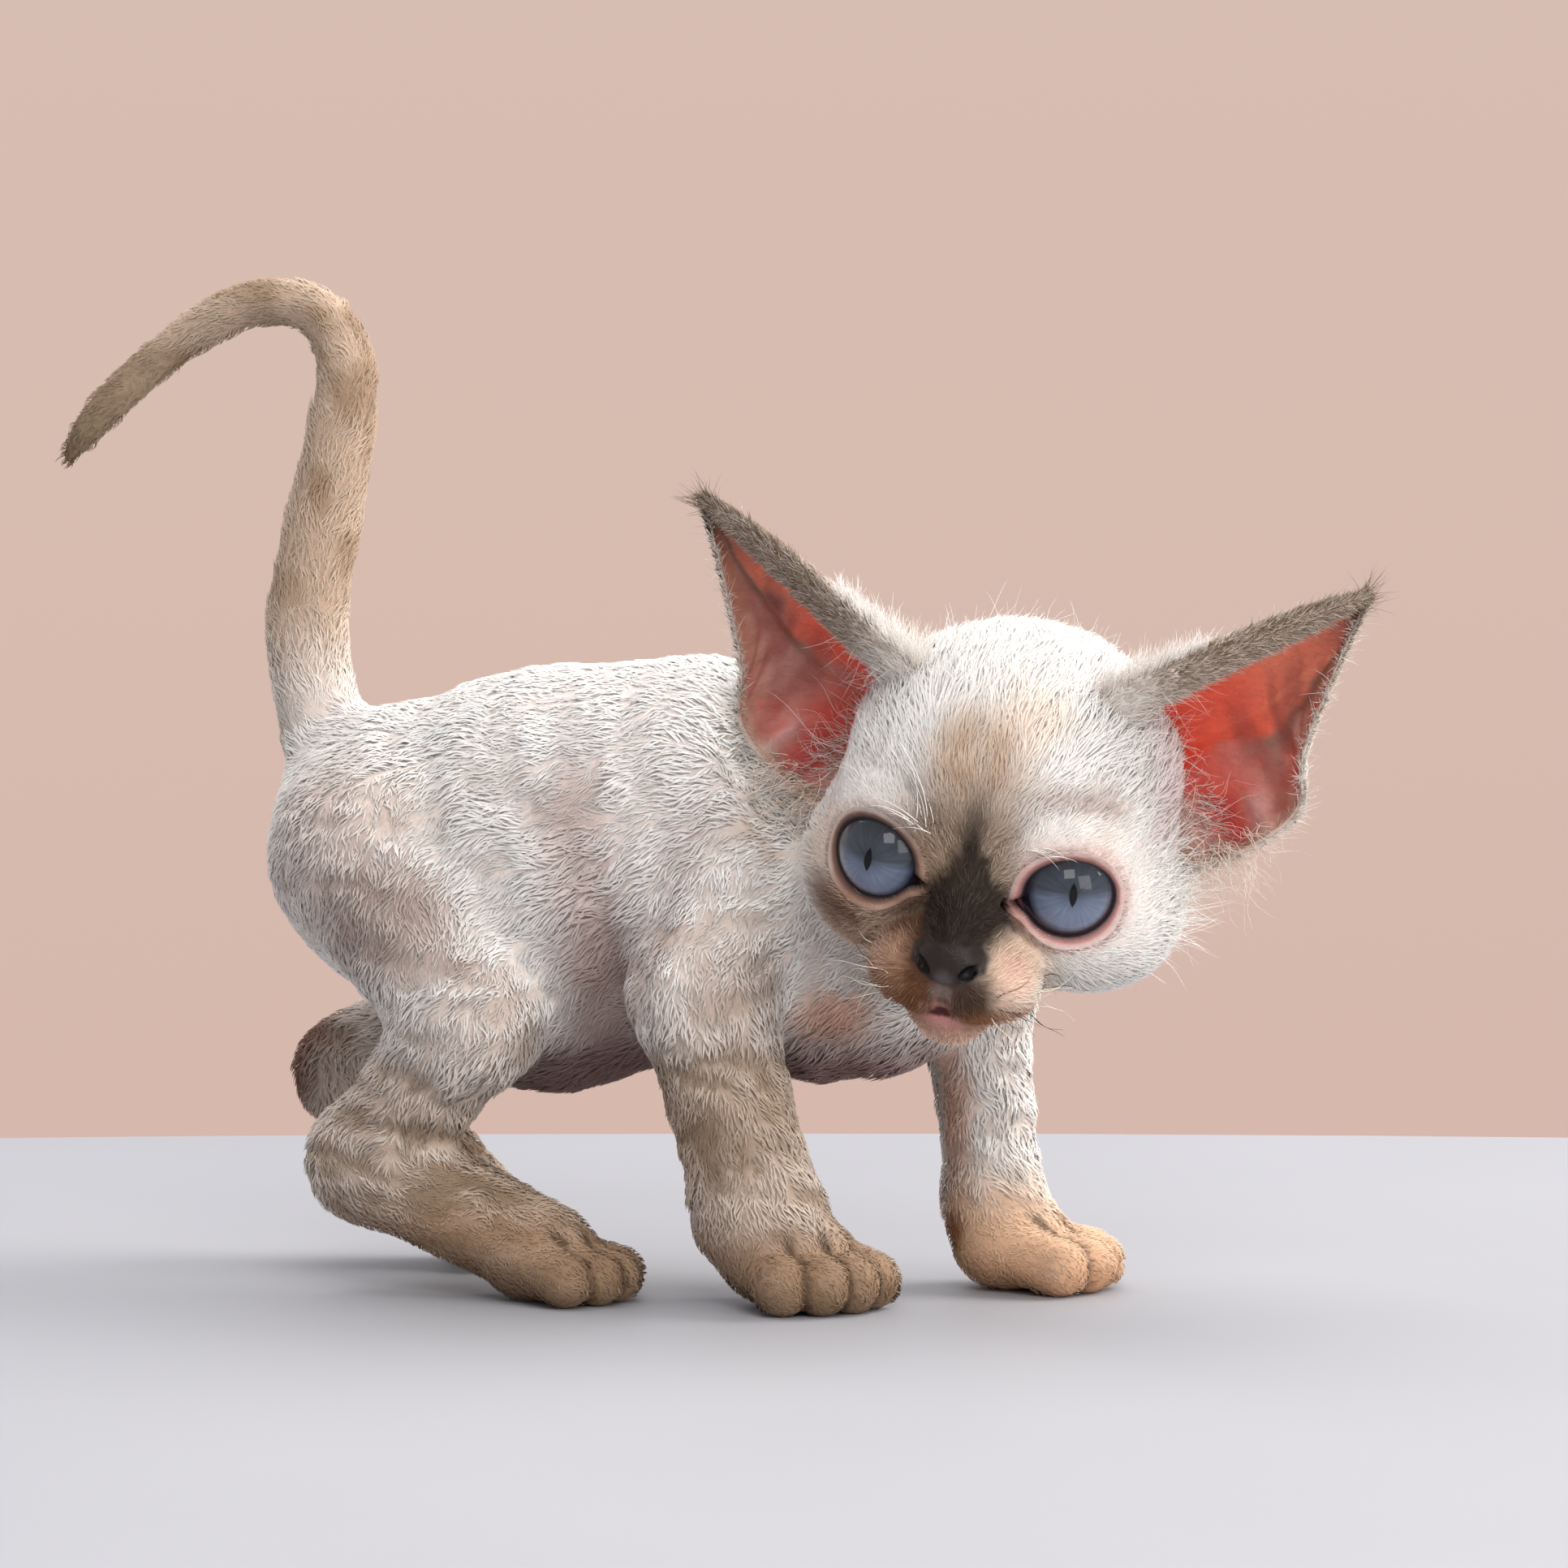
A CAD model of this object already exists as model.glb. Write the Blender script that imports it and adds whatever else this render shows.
"""A devon rex kitten in mid step, looking back over its right shoulder: skin, coat, eyes, ears and claws."""
import math

import bpy
import numpy as np
from mathutils import Matrix, Vector
from mathutils.kdtree import KDTree


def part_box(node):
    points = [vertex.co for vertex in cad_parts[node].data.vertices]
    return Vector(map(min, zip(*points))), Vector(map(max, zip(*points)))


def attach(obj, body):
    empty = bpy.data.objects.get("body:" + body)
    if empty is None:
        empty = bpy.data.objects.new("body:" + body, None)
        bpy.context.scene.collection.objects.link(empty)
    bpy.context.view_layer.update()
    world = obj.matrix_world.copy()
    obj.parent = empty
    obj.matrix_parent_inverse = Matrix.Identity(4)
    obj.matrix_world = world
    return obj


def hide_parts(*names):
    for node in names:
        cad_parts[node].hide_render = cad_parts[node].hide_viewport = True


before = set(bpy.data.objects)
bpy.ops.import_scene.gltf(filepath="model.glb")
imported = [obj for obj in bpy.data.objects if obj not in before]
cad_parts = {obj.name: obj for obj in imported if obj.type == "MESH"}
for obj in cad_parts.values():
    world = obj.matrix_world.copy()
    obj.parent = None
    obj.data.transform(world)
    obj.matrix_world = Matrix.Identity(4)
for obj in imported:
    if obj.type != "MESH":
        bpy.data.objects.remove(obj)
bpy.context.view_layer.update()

rng = np.random.default_rng(4667)

# Sizes and places in millimetres, in the kitten's own frame: +X to the chest, +Y to its left, floor at z = 0.
TRUNK = [
    ([-77, 0, 69], [20, 22, 23]),
    ([-50, 0, 64.5], [33, 26, 34.5]),
    ([-26, 0, 69], [30, 25, 32]),
    ([-9, 2, 66], [19, 20, 32]),
    ([3, 4, 52], [19, 17, 18]),
]
TRUNK_BLEND = 9
TOE_CLEFT = 0.7
NECK = ([-10, 4, 77], [22, 2, 80], 20, 17.5)
LIMB_BLEND = 5
PAW_BLEND = 2.5
HIND = {
    "right": dict(hip=[-75, -13, 69], knee=[-54, -23, 43.5], hock=[-73.5, -18.5, 20.5], ball=[-43, -22, 8],
                  heading=-11, foot=8.2),
    "left": dict(hip=[-76, 13, 69], knee=[-61, 22, 47], hock=[-92, 18, 31], ball=[-69, 18, 8.5],
                 heading=-2, foot=7.2),
}
HIND_R = dict(hip=17, knee=11, shank=10.2, hock=9.5)
FORE = {
    "right": dict(shoulder=[-14, -11, 69], elbow=[-16, -22, 49], wrist=[-8.4, -17.5, 15], paw=[-2, -17, 0], heading=-36,
                  r=[14, 11.4, 11, 9.8]),
    "left": dict(shoulder=[-2, 13, 70], elbow=[15, 18, 48], wrist=[19, 17, 14], paw=[24, 17, 0], heading=2,
                 r=[14, 10, 9.2, 7.8]),
}
PAW_BALL = ([-1.5, 0, 6.8], [10, 11, 7.6])
TOES = dict(count=4, spread=5.5, ahead=8, middle=2.8, back=8, knuckle=6.6, across=0.8, knuckle_r=4.7, tip=4.3,
            tip_r=4.9)
HIND_PAW_SCALE = 0.92
HIND_PAW_AHEAD = 2
TAIL_PATH = [
    [-82, 0, 74], [-89.5, 0, 89], [-92.4, 0, 104], [-90, 0, 119], [-86.2, 0, 136], [-85.4, 0, 147],
    [-90.5, 0, 155], [-101, 0, 156.4], [-113, 0, 151.4], [-124, 0, 143.2], [-131.5, 0, 136], [-135.6, 0, 130.6],
]
TAIL_R = [9.5, 7.8, 6.9, 6.4, 5.8, 5.1, 4.6, 4.1, 3.9, 3.7, 2.8, 1]

# The head in its own frame: +X to the nose, +Y to its left, +Z up.
HEAD = dict(at=[31.5, -16.9, 76.3], turn=-86.8, nod=21.8, tilt=-11.7)
SKULL = [([-4, 0, 4.5], [27, 26, 24]), ([8, 0, 8.5], [15, 19, 14.5])]
BROW = ([11.5, 12.5, 6], [9, 8.5, 7])
CHEEK = ([4, 16, -9], [14, 14, 13])
UNDER_EYE = ([12.5, 13.5, -9.5], [9.5, 9.5, 7])
MUZZLE = ([23, 0, -13.5], [9.5, 9.5, 8])
WHISKER_PAD = ([25.4, 6.2, -14], [6.8, 7.2, 6])
BRIDGE = ([15, 0, 3], [29, 0, -7.6], 6.5, 4.4)
NOSE = ([31.2, 0, -9.4], [2.8, 5, 3.2])
JAW = ([-2, 0, -12], [24.4, 0, -19.6], 13, 6.4)
HEAD_BLEND = 8
FACE_BLEND = 3.5
NOSE_BLEND = 1.5
NECK_JOIN = 6
EYE = dict(at=[16.2, 13.7, -0.25], r=8, lid=0.9, out=19, up=4, half=[6.9, 6.1])
IRIS = {"left": dict(out=19, up=18), "right": dict(out=11, up=11)}  # where each pupil points
NOSTRIL = ([32.9, 3.7, -9.7], [1.7, 1.6, 1.15])
MOUTH = [[32, 0, -12.4], [31, 0, -17.6], [29.5, 4.5, -19.2], [24, 9.6, -18.6], [18, 12.5, -17.4]]
MOUTH_FROM = [12, 0, -13]
EAR = dict(
    medial=[[1, 9, 16], [2.4, 15.5, 25], [0.2, 25, 31], [-3, 35, 36.4], [-5.6, 43.5, 40.4], [-7.6, 50.8, 42.9]],
    lateral=[[1, 20, -7], [-3.5, 35.5, -2.2], [-6.4, 44.2, 5.5], [-6.3, 44.3, 15], [-7, 47.5, 28], [-8, 51.6, 41.2]],
    back=[[-10, 13, 4], [-12.5, 23, 10], [-13, 33, 17.5], [-12.5, 40, 25.5], [-11, 46, 33.5], [-8.6, 51.3, 42]],
    wall=1.05, inset=0.15, swing=3,
    # How wide the furry front rim is, from root to tip.
    band=[(0, 4.5), (0.08, 6.0), (0.25, 5.2), (0.5, 4.2), (0.75, 3.2), (0.92, 1.6), (1, 0.4)],
)
SIDES = {"left": 1, "right": -1}
FUR_FROM = np.array([37, 0, -8])  # the face's hair lies away from here

# The camera: its place, how far it looks down and round, and its lens for a 36 mm sensor.
CAMERA = dict(at=[338.596, -958.939, 131.652], pitch=2.8834, azimuth=20, lens=149.07)


def unit(a):
    a = np.asarray(a, float)
    return a / np.maximum(np.linalg.norm(a, axis=-1, keepdims=True), 1e-9)


def level(way, normal):
    """What of a way lies along the surface."""
    return way - normal * (way * normal).sum(1, keepdims=True)


def mix(a, b, t):
    return a + (b - a) * t


def step(a, b, x):
    t = np.clip((x - a) / (b - a), 0, 1)
    return t * t * (3 - 2 * t)


def turned(axis, degrees):
    return np.array(Matrix.Rotation(math.radians(degrees), 3, axis))


def on_side(a, side):
    return np.array([a[0], a[1] * side, a[2]], float)


HEAD_AT = np.array(HEAD["at"], float)
HEAD_AXES = turned("Z", HEAD["turn"]) @ turned("Y", HEAD["nod"]) @ turned("X", HEAD["tilt"])


def to_head(p):
    return (p - HEAD_AT) @ HEAD_AXES


def from_head(p):
    return p @ HEAD_AXES.T + HEAD_AT


def offset_of_frame():
    """Where the kitten's own frame lies in the model's: from the middles of its two eyes."""
    gaps = []
    for side, sign in SIDES.items():
        low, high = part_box("eye_" + side)
        middle = (np.array(low) + np.array(high)) / 2 * 1000
        gaps.append(middle - from_head(on_side(EYE["at"], sign)))
    return np.mean(gaps, axis=0)


OFFSET = offset_of_frame()


def metres(p):
    return (np.asarray(p, float) + OFFSET) / 1000


# Distance fields: about how far points are outside a form, in millimetres.
FAR = 60.0
REACH = 14.0


def near(low, high, inner):
    low, high = np.array(low) - REACH, np.array(high) + REACH

    def field(p):
        out = np.full(len(p), FAR)
        inside = ((p > low) & (p < high)).all(1)
        if inside.any():
            out[inside] = inner(p[inside])
        return out

    return field


def egg(at, r):
    at, r = np.array(at, float), np.array(r, float)

    def inner(p):
        q = p - at
        k0 = np.sqrt(((q / r) ** 2).sum(1))
        k1 = np.sqrt(((q / r**2) ** 2).sum(1))
        return k0 * (k0 - 1) / np.maximum(k1, 1e-9)

    return near(at - r, at + r, inner)


def bone(a, b, ra, rb):
    a, b = np.array(a, float), np.array(b, float)
    along = b - a
    most = max(ra, rb)

    def inner(p):
        q = p - a
        t = np.clip(q @ along / (along @ along), 0, 1)
        return np.linalg.norm(q - t[:, None] * along, axis=1) - mix(ra, rb, t)

    return near(np.minimum(a, b) - most, np.maximum(a, b) + most, inner)


def smooth_min(a, b, k):
    h = np.maximum(0, k - np.abs(a - b)) / k
    return np.minimum(a, b) - h * h * k / 4


def smooth_max(a, b, k):
    return -smooth_min(-a, -b, k)


def blended(fields, k):
    def field(p):
        best = fields[0](p)
        for other in fields[1:]:
            best = smooth_min(best, other(p), k)
        return best

    return field


def curve_points(points, count):
    """Points along a centripetal curve through the given ones, evenly spaced in its parameter."""
    pts = np.array(points, float)
    pts = np.vstack([2 * pts[0] - pts[1], pts, 2 * pts[-1] - pts[-2]])
    last = len(points) - 1
    out = []
    for t in np.linspace(0, last, count):
        i = min(int(t), last - 1)
        f = t - i
        p = pts[i : i + 4]
        k = [0]
        for a, b in zip(p, p[1:]):
            k.append(k[-1] + max(np.linalg.norm(b - a), 1e-6) ** 0.5)
        s = mix(k[1], k[2], f)
        a = [mix(p[j], p[j + 1], (s - k[j]) / (k[j + 1] - k[j])) for j in range(3)]
        b = [mix(a[j], a[j + 1], (s - k[j]) / (k[j + 2] - k[j])) for j in range(2)]
        out.append(mix(b[0], b[1], (s - k[1]) / (k[2] - k[1])))
    return np.array(out)


# The tail, with its middle line, its radius and a lookup of how far along it a point lies.
TAIL_STEPS = 66
TAIL_LINE = curve_points(TAIL_PATH, TAIL_STEPS + 1)
TAIL_RADII = np.interp(np.linspace(0, 1, TAIL_STEPS + 1), np.linspace(0, 1, len(TAIL_R)), TAIL_R)


def tail_place(p):
    """The distance to the tail's middle line, and how far along it the nearest place is, from 0 to 1."""
    best = np.full(len(p), 1e9)
    share = np.zeros(len(p))
    for i in range(TAIL_STEPS):
        a, along = TAIL_LINE[i], TAIL_LINE[i + 1] - TAIL_LINE[i]
        t = np.clip((p - a) @ along / (along @ along), 0, 1)
        d = np.linalg.norm(p - a - t[:, None] * along, axis=1) - mix(TAIL_RADII[i], TAIL_RADII[i + 1], t)
        closer = d < best
        best = np.where(closer, d, best)
        share = np.where(closer, (i + t) / TAIL_STEPS, share)
    return best, share


tail_field = near(TAIL_LINE.min(0) - 9, TAIL_LINE.max(0) + 9, lambda p: tail_place(p)[0])


def paw_forms(at, heading, scale):
    axes = turned("Z", heading) * scale
    at = np.array(at, float)
    ball_at = axes @ np.array(PAW_BALL[0], float) + at
    ball_r = np.array(PAW_BALL[1]) * scale
    cosine, sine = math.cos(math.radians(heading)), math.sin(math.radians(heading))
    turn_back = np.array([[cosine, sine, 0], [-sine, cosine, 0], [0, 0, 1]])
    upright = egg([0, 0, 0], ball_r)
    toes = []
    for i in range(TOES["count"]):
        across = (i - (TOES["count"] - 1) / 2) * TOES["spread"]
        ahead = TOES["ahead"] + (TOES["middle"] if 0 < i < TOES["count"] - 1 else 0)
        knuckle = axes @ np.array([ahead - TOES["back"], across * TOES["across"], TOES["knuckle"]]) + at
        tip = axes @ np.array([ahead, across, TOES["tip"]]) + at
        toes.append((knuckle, tip))
    return (lambda p: upright((p - ball_at) @ turn_back.T)), toes


LIMBS = []  # each: its name, its field and the way its hair lies
TOE_TIPS = []
toe_fields = []
for side, leg in HIND.items():
    hip, knee, hock, foot = (np.array(leg[k], float) for k in ("hip", "knee", "hock", "ball"))
    place = [foot[0] + HIND_PAW_AHEAD, foot[1], 0]
    ball, toes = paw_forms(place, leg["heading"], HIND_PAW_SCALE)
    sole = blended([bone(hock, foot, HIND_R["hock"], leg["foot"]), ball], PAW_BLEND)
    ahead = turned("Z", leg["heading"]) @ np.array([1.0, 0, 0])
    thigh, shank = bone(hip, knee, HIND_R["hip"], HIND_R["knee"]), bone(knee, hock, HIND_R["shank"], HIND_R["hock"])
    LIMBS.append(("thigh_" + side, thigh, unit(unit(knee - hip) + [-0.7, 0, -0.8])))
    LIMBS.append(("shank_" + side, shank, unit(hock - knee)))
    LIMBS.append(("foot_" + side, sole, unit(foot - hock) * 0.6 + ahead * 0.4))
    for knuckle, tip in toes:
        knuckle_r, tip_r = TOES["knuckle_r"] * HIND_PAW_SCALE, TOES["tip_r"] * HIND_PAW_SCALE
        toe_fields.append(bone(knuckle, tip, knuckle_r, tip_r))
        TOE_TIPS.append((tip, tip_r, ahead))
for side, leg in FORE.items():
    shoulder, elbow, wrist, place = (np.array(leg[k], float) for k in ("shoulder", "elbow", "wrist", "paw"))
    ball, toes = paw_forms(place, leg["heading"], 1)
    ra, rb, rc, rd = leg["r"]
    low = blended([bone(wrist, place + [1, 0, 8], rd, rd - 2), ball], PAW_BLEND)
    ahead = turned("Z", leg["heading"]) @ np.array([1.0, 0, 0])
    upper_lie = unit(unit(elbow - shoulder) + [-0.5, 0, -0.3])
    LIMBS.append(("upper_" + side, bone(shoulder, elbow, ra, rb), upper_lie))
    LIMBS.append(("forearm_" + side, bone(elbow, wrist, rc, rd), unit(wrist - elbow)))
    LIMBS.append(("paw_" + side, low, unit(ahead + [0, 0, -0.5])))
    for knuckle, tip in toes:
        toe_fields.append(bone(knuckle, tip, TOES["knuckle_r"], TOES["tip_r"]))
        TOE_TIPS.append((tip, TOES["tip_r"], ahead))

trunk_field = blended([egg(*e) for e in TRUNK], TRUNK_BLEND)
neck_field = bone(*NECK)
limb_fields = [limb[1] for limb in LIMBS]


def body_field(p):
    d = blended([trunk_field, neck_field, tail_field, *limb_fields], LIMB_BLEND)(p)
    low = p[:, 2] < 20
    if low.any():
        q = p[low]
        e = d[low]
        for toe in toe_fields:
            e = smooth_min(e, toe(q), TOE_CLEFT)
        d[low] = e
    return d


def both(make):
    return [make(side) for side in (1, -1)]


skull_field = blended([
    *(egg(*e) for e in SKULL),
    *both(lambda s: egg(on_side(BROW[0], s), BROW[1])),
    *both(lambda s: egg(on_side(UNDER_EYE[0], s), UNDER_EYE[1])),
    *both(lambda s: egg(on_side(CHEEK[0], s), CHEEK[1])),
    bone(*JAW),
], HEAD_BLEND)
face_field = blended([blended([
    skull_field,
    egg(*MUZZLE),
    bone(*BRIDGE),
    *both(lambda s: egg(on_side(EYE["at"], s), [EYE["r"] + EYE["lid"]] * 3)),
    *both(lambda s: egg(on_side(WHISKER_PAD[0], s), WHISKER_PAD[1])),
], FACE_BLEND), egg(*NOSE)], NOSE_BLEND)


def ray_reach(field, origin, direction, most):
    s = np.linspace(0, most, 400)
    d = field(origin + s[:, None] * direction)
    return s[np.argmax(d > 0)]


mouth_lines = []
for sign in (1, -1):
    origin = np.array(MOUTH_FROM, float)
    line = []
    for point in MOUTH:
        direction = unit(on_side(point, sign) - origin)
        line.append(origin + direction * ray_reach(face_field, origin, direction, 40))
    mouth_lines.append(curve_points(line, 25))


def line_distance(line, p):
    best = np.full(len(p), 1e9)
    for a, b in zip(line, line[1:]):
        along = b - a
        t = np.clip((p - a) @ along / (along @ along), 0, 1)
        best = np.minimum(best, np.linalg.norm(p - a - t[:, None] * along, axis=1))
    return best


def lip_distance(q):
    return np.minimum(*(line_distance(line, q) for line in mouth_lines))


def gaze_axes(side, aim=EYE):
    """An eye's own axes: ahead, towards the temple, and up."""
    out, up = math.radians(aim["out"]), math.radians(aim["up"])
    ahead = unit([math.cos(out), side * math.sin(out), math.sin(up)])
    across = unit(np.cross([0, 0, 1], ahead)) * side
    return np.array([ahead, across, unit(np.cross(ahead, across)) * side])


CANTHUS = dict(inner=(-4.2, -1.0), tip=(-7.4, -2.1), r=(2.1, 0.3))
LIDS_TO = (12.0, 10.4)  # how far from the eye's middle the lids' opening and its inner corner are cut
LID_WIDE = 0.5  # how much wider than the lids' opening the hole in the skin is: the lids' own rims fill it


def lid_gap(q, side, cut=False):
    """About how far a point of the head is outside the cone that the lids leave open."""
    v = (q - on_side(EYE["at"], side)) @ gaze_axes(side).T
    size = np.maximum(np.linalg.norm(v, axis=1), 1e-6)
    u, w = v[:, 1] / size * EYE["r"], v[:, 2] / size * EYE["r"]
    a, b = EYE["half"]
    round_part = (np.sqrt((u / a) ** 2 + (w / b) ** 2) - 1) * b
    start, end = np.array(CANTHUS["inner"]), np.array(CANTHUS["tip"])
    along = end - start
    c = np.stack([u, w], 1) - start
    t = np.clip(c @ along / (along @ along), 0, 1)
    corner = np.linalg.norm(c - t[:, None] * along, axis=1) - mix(*CANTHUS["r"], t)
    if cut:
        round_part = np.maximum(round_part, size - LIDS_TO[0])
        corner = smooth_max(corner, size - LIDS_TO[1], 1.5)
    d = smooth_min(round_part, corner, 1.2)
    return np.where(v[:, 0] > 0, d * size / EYE["r"], FAR)


def ear_room():
    """Places that fill the cup of the right ear, in the head's frame, to keep the shoulder clear of it."""
    swing = turned("X", EAR["swing"])
    edges = ([swing @ on_side(p, -1) for p in EAR[k]] for k in ("medial", "lateral", "back"))
    medial, lateral, back = (curve_points(edge, 21)[:13:2] for edge in edges)  # every second place, to over half way up
    middle = (medial + lateral) / 2
    places = []
    for turn in np.linspace(-math.pi / 2, math.pi / 2, 9):
        for reach in (0.3, 0.65, 1.0):
            places.append(middle + ((lateral - middle) * math.sin(turn) + (back - middle) * math.cos(turn)) * reach)
            places.append(places[-1] + np.array([5.0, 0, 0]))
    return np.concatenate(places)


EAR_ROOM = ear_room()
EAR_CLEAR = 4.6


def room_gap(q):
    """How far points are outside the room kept round the right ear."""
    out = np.full(len(q), FAR)
    close = (np.linalg.norm(q - EAR_ROOM.mean(0), axis=1) < 30).nonzero()[0]
    for part in np.array_split(close, max(1, len(close) // 20000)):
        if len(part):
            out[part] = np.sqrt(((q[part, None] - EAR_ROOM[None]) ** 2).sum(2).min(1)) - EAR_CLEAR
    return out


def skin_depth(p, q, head_gap):
    """How far the bare skin lies under the coat's outer face."""
    depth = np.full(len(p), 1.25)
    depth = mix(depth, 0.5, step(16, 8, p[:, 2]))
    tail = step(96, 110, p[:, 2]) * step(-78, -84, p[:, 0])
    depth = mix(depth, 0.75, tail)
    thin_tip = step(-118, -134, p[:, 0])
    depth = mix(depth, 0.35, thin_tip)
    from_nose = np.linalg.norm(q - [31, 0, -10], axis=1)
    face = mix(0.25, 1.1, step(7, 32, from_nose))
    face = mix(0.02, face, step(4.2, 6.5, from_nose))
    for side in (1, -1):
        from_eye = np.linalg.norm(q - on_side(EYE["at"], side), axis=1) - EYE["r"]
        face = np.minimum(face, 0.08 + 0.2 * np.maximum(0, from_eye - 0.9))
    return mix(depth, face, step(7, -3, head_gap))


FRONT = dict(at=[31.5, 0, -12.5], r=[9, 9.5, 11])  # the nose and mouth, which have a finer skin of their own
FOLDS = [np.array(line, float) for line in (  # before the thigh, and behind the shoulder
    [[-50, -24, 82], [-40, -25, 76], [-33.5, -26, 69], [-31, -25.5, 59], [-33, -20, 47]],
    [[-14, -24, 79], [-17, -26, 72], [-20, -28, 66], [-22, -30, 58], [-21, -26, 48]],
)]
FOLD_LOW, FOLD_HIGH = np.array([-60, -200, 38]), np.array([-6, -10, 92])  # the box that they lie in
FOLD_WIDE, FOLD_DEEP = 3.2, 1.1


def fold_share(p):
    """1 in the hollows that set the near thigh and shoulder off from the flank."""
    out = np.zeros(len(p))
    at = ((p > FOLD_LOW) & (p < FOLD_HIGH)).all(1).nonzero()[0]
    if len(at):
        away = np.minimum(*(line_distance(line, p[at]) for line in FOLDS))
        out[at] = np.exp(-((away / FOLD_WIDE) ** 2)) * step(88, 74, p[at, 2])
    return out


LID_FOLDS = ((3.0, 0.32), (4.6, 0.2))  # how far from the opening, and how deep
SLIT = ([32.2, 4.4, -9.2], [29.6, 6.6, -7.6], 0.6, 0.2)  # at the nostril's wing
LIP_LINE = dict(half=0.36, more=0.4, at=[31.2, 0, -17.4], r=[4, 4.5, 3])  # half its width, and wider in the middle


def skin_field(p, fine=False):
    """The skin's own field, or that of the finer piece over the nose and mouth: each dives under the other."""
    d = body_field(p)
    q = to_head(p)
    d = smooth_max(d, -room_gap(q), 2.5)
    d = d + FOLD_DEEP * fold_share(p)
    close = np.linalg.norm(q, axis=1) < 62
    head_gap = np.full(len(p), FAR)
    if close.any():
        head_gap[close] = face_field(q[close])
    d = smooth_min(d, head_gap, NECK_JOIN)
    d = d + skin_depth(p, q, head_gap)
    front = close & (q[:, 0] > 6)
    if front.any():
        f = q[front]
        e = d[front]
        for side in (1, -1):
            gap = lid_gap(f, side, cut=True)
            e = smooth_max(e, LID_WIDE - gap, 0.5)
            above = step(-1, 4, f[:, 2] - EYE["at"][2])
            for fold, deep in LID_FOLDS:
                e += deep * np.exp(-(((gap - fold - 0.5 * (1 - above)) / 0.5) ** 2)) * mix(0.55, 1, above)
            inner = (f - on_side(NOSTRIL[0], side)) @ turned("X", 35 * side)
            k0 = np.sqrt(((inner / NOSTRIL[1]) ** 2).sum(1))
            e = smooth_max(e, -(k0 - 1) * 0.8, 0.3)
            slit = bone(on_side(SLIT[0], side), on_side(SLIT[1], side), *SLIT[2:])(f)
            e = smooth_max(e, -slit, 0.4)
        wide = LIP_LINE["half"] + LIP_LINE["more"] * spot(f, LIP_LINE["at"], LIP_LINE["r"])
        for line in mouth_lines:
            e = smooth_max(e, -(line_distance(line, f) - wide), 0.35)
        share = spot(f, FRONT["at"], FRONT["r"])
        d[front] = e + (0.1 * (1 - share) if fine else 0.3 * step(0.3, 0.8, share))
    return d


# The skin's mesh: one vertex in each cell that the surface crosses, then moved onto it.
def grid_axis(low, high, fine_low, fine_high, coarse, fine):
    def span(a, b, size):
        return np.linspace(a, b, max(2, int(round((b - a) / size)) + 1))

    parts = [span(low, fine_low, coarse), span(fine_low, fine_high, fine)[1:], span(fine_high, high, coarse)[1:]]
    return np.concatenate([part for part in parts if len(part)])


COARSE, FINE = ((1.34, 0.6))
AXES = [
    grid_axis(-140, 64, 2, 60, COARSE, FINE),
    grid_axis(-62, 38, -58, -2, COARSE, FINE),
    grid_axis(-3, 162, 44, 108, COARSE, FINE),
]
BLOCK = 8


def sampled(field, axes):
    shape = [len(a) for a in axes]
    values = np.full(shape, FAR, np.float32)
    starts = [np.arange(0, n - 1, BLOCK) for n in shape]
    corners = np.stack(np.meshgrid(*starts, indexing="ij"), -1).reshape(-1, 3)
    ends = np.minimum(corners + BLOCK, np.array(shape) - 1)
    low = np.stack([axes[i][corners[:, i]] for i in range(3)], 1)
    high = np.stack([axes[i][ends[:, i]] for i in range(3)], 1)
    middle_value = field((low + high) / 2)
    radius = np.linalg.norm(high - low, axis=1) / 2
    busy = np.abs(middle_value) < radius * 1.25 + 2.5
    for n in range(len(corners)):
        a, b = corners[n], ends[n] + 1
        if not busy[n]:
            values[a[0] : b[0], a[1] : b[1], a[2] : b[2]] = middle_value[n]
    group = 60
    busy_at = np.where(busy)[0]
    for first in range(0, len(busy_at), group):
        chosen = busy_at[first : first + group]
        points, cuts = [], []
        for n in chosen:
            a, b = corners[n], ends[n] + 1
            grid = np.stack(np.meshgrid(*(axes[i][a[i] : b[i]] for i in range(3)), indexing="ij"), -1)
            points.append(grid.reshape(-1, 3))
            cuts.append(grid.shape[:3])
        found = field(np.concatenate(points))
        place = 0
        for n, cut in zip(chosen, cuts):
            size = cut[0] * cut[1] * cut[2]
            a, b = corners[n], ends[n] + 1
            values[a[0] : b[0], a[1] : b[1], a[2] : b[2]] = found[place : place + size].reshape(cut)
            place += size
    return values


def slope(field, p, h=0.08):
    g = np.zeros_like(p)
    for i in range(3):
        e = np.zeros(3)
        e[i] = h
        g[:, i] = (field(p + e) - field(p - e)) / (2 * h)
    return g


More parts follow.
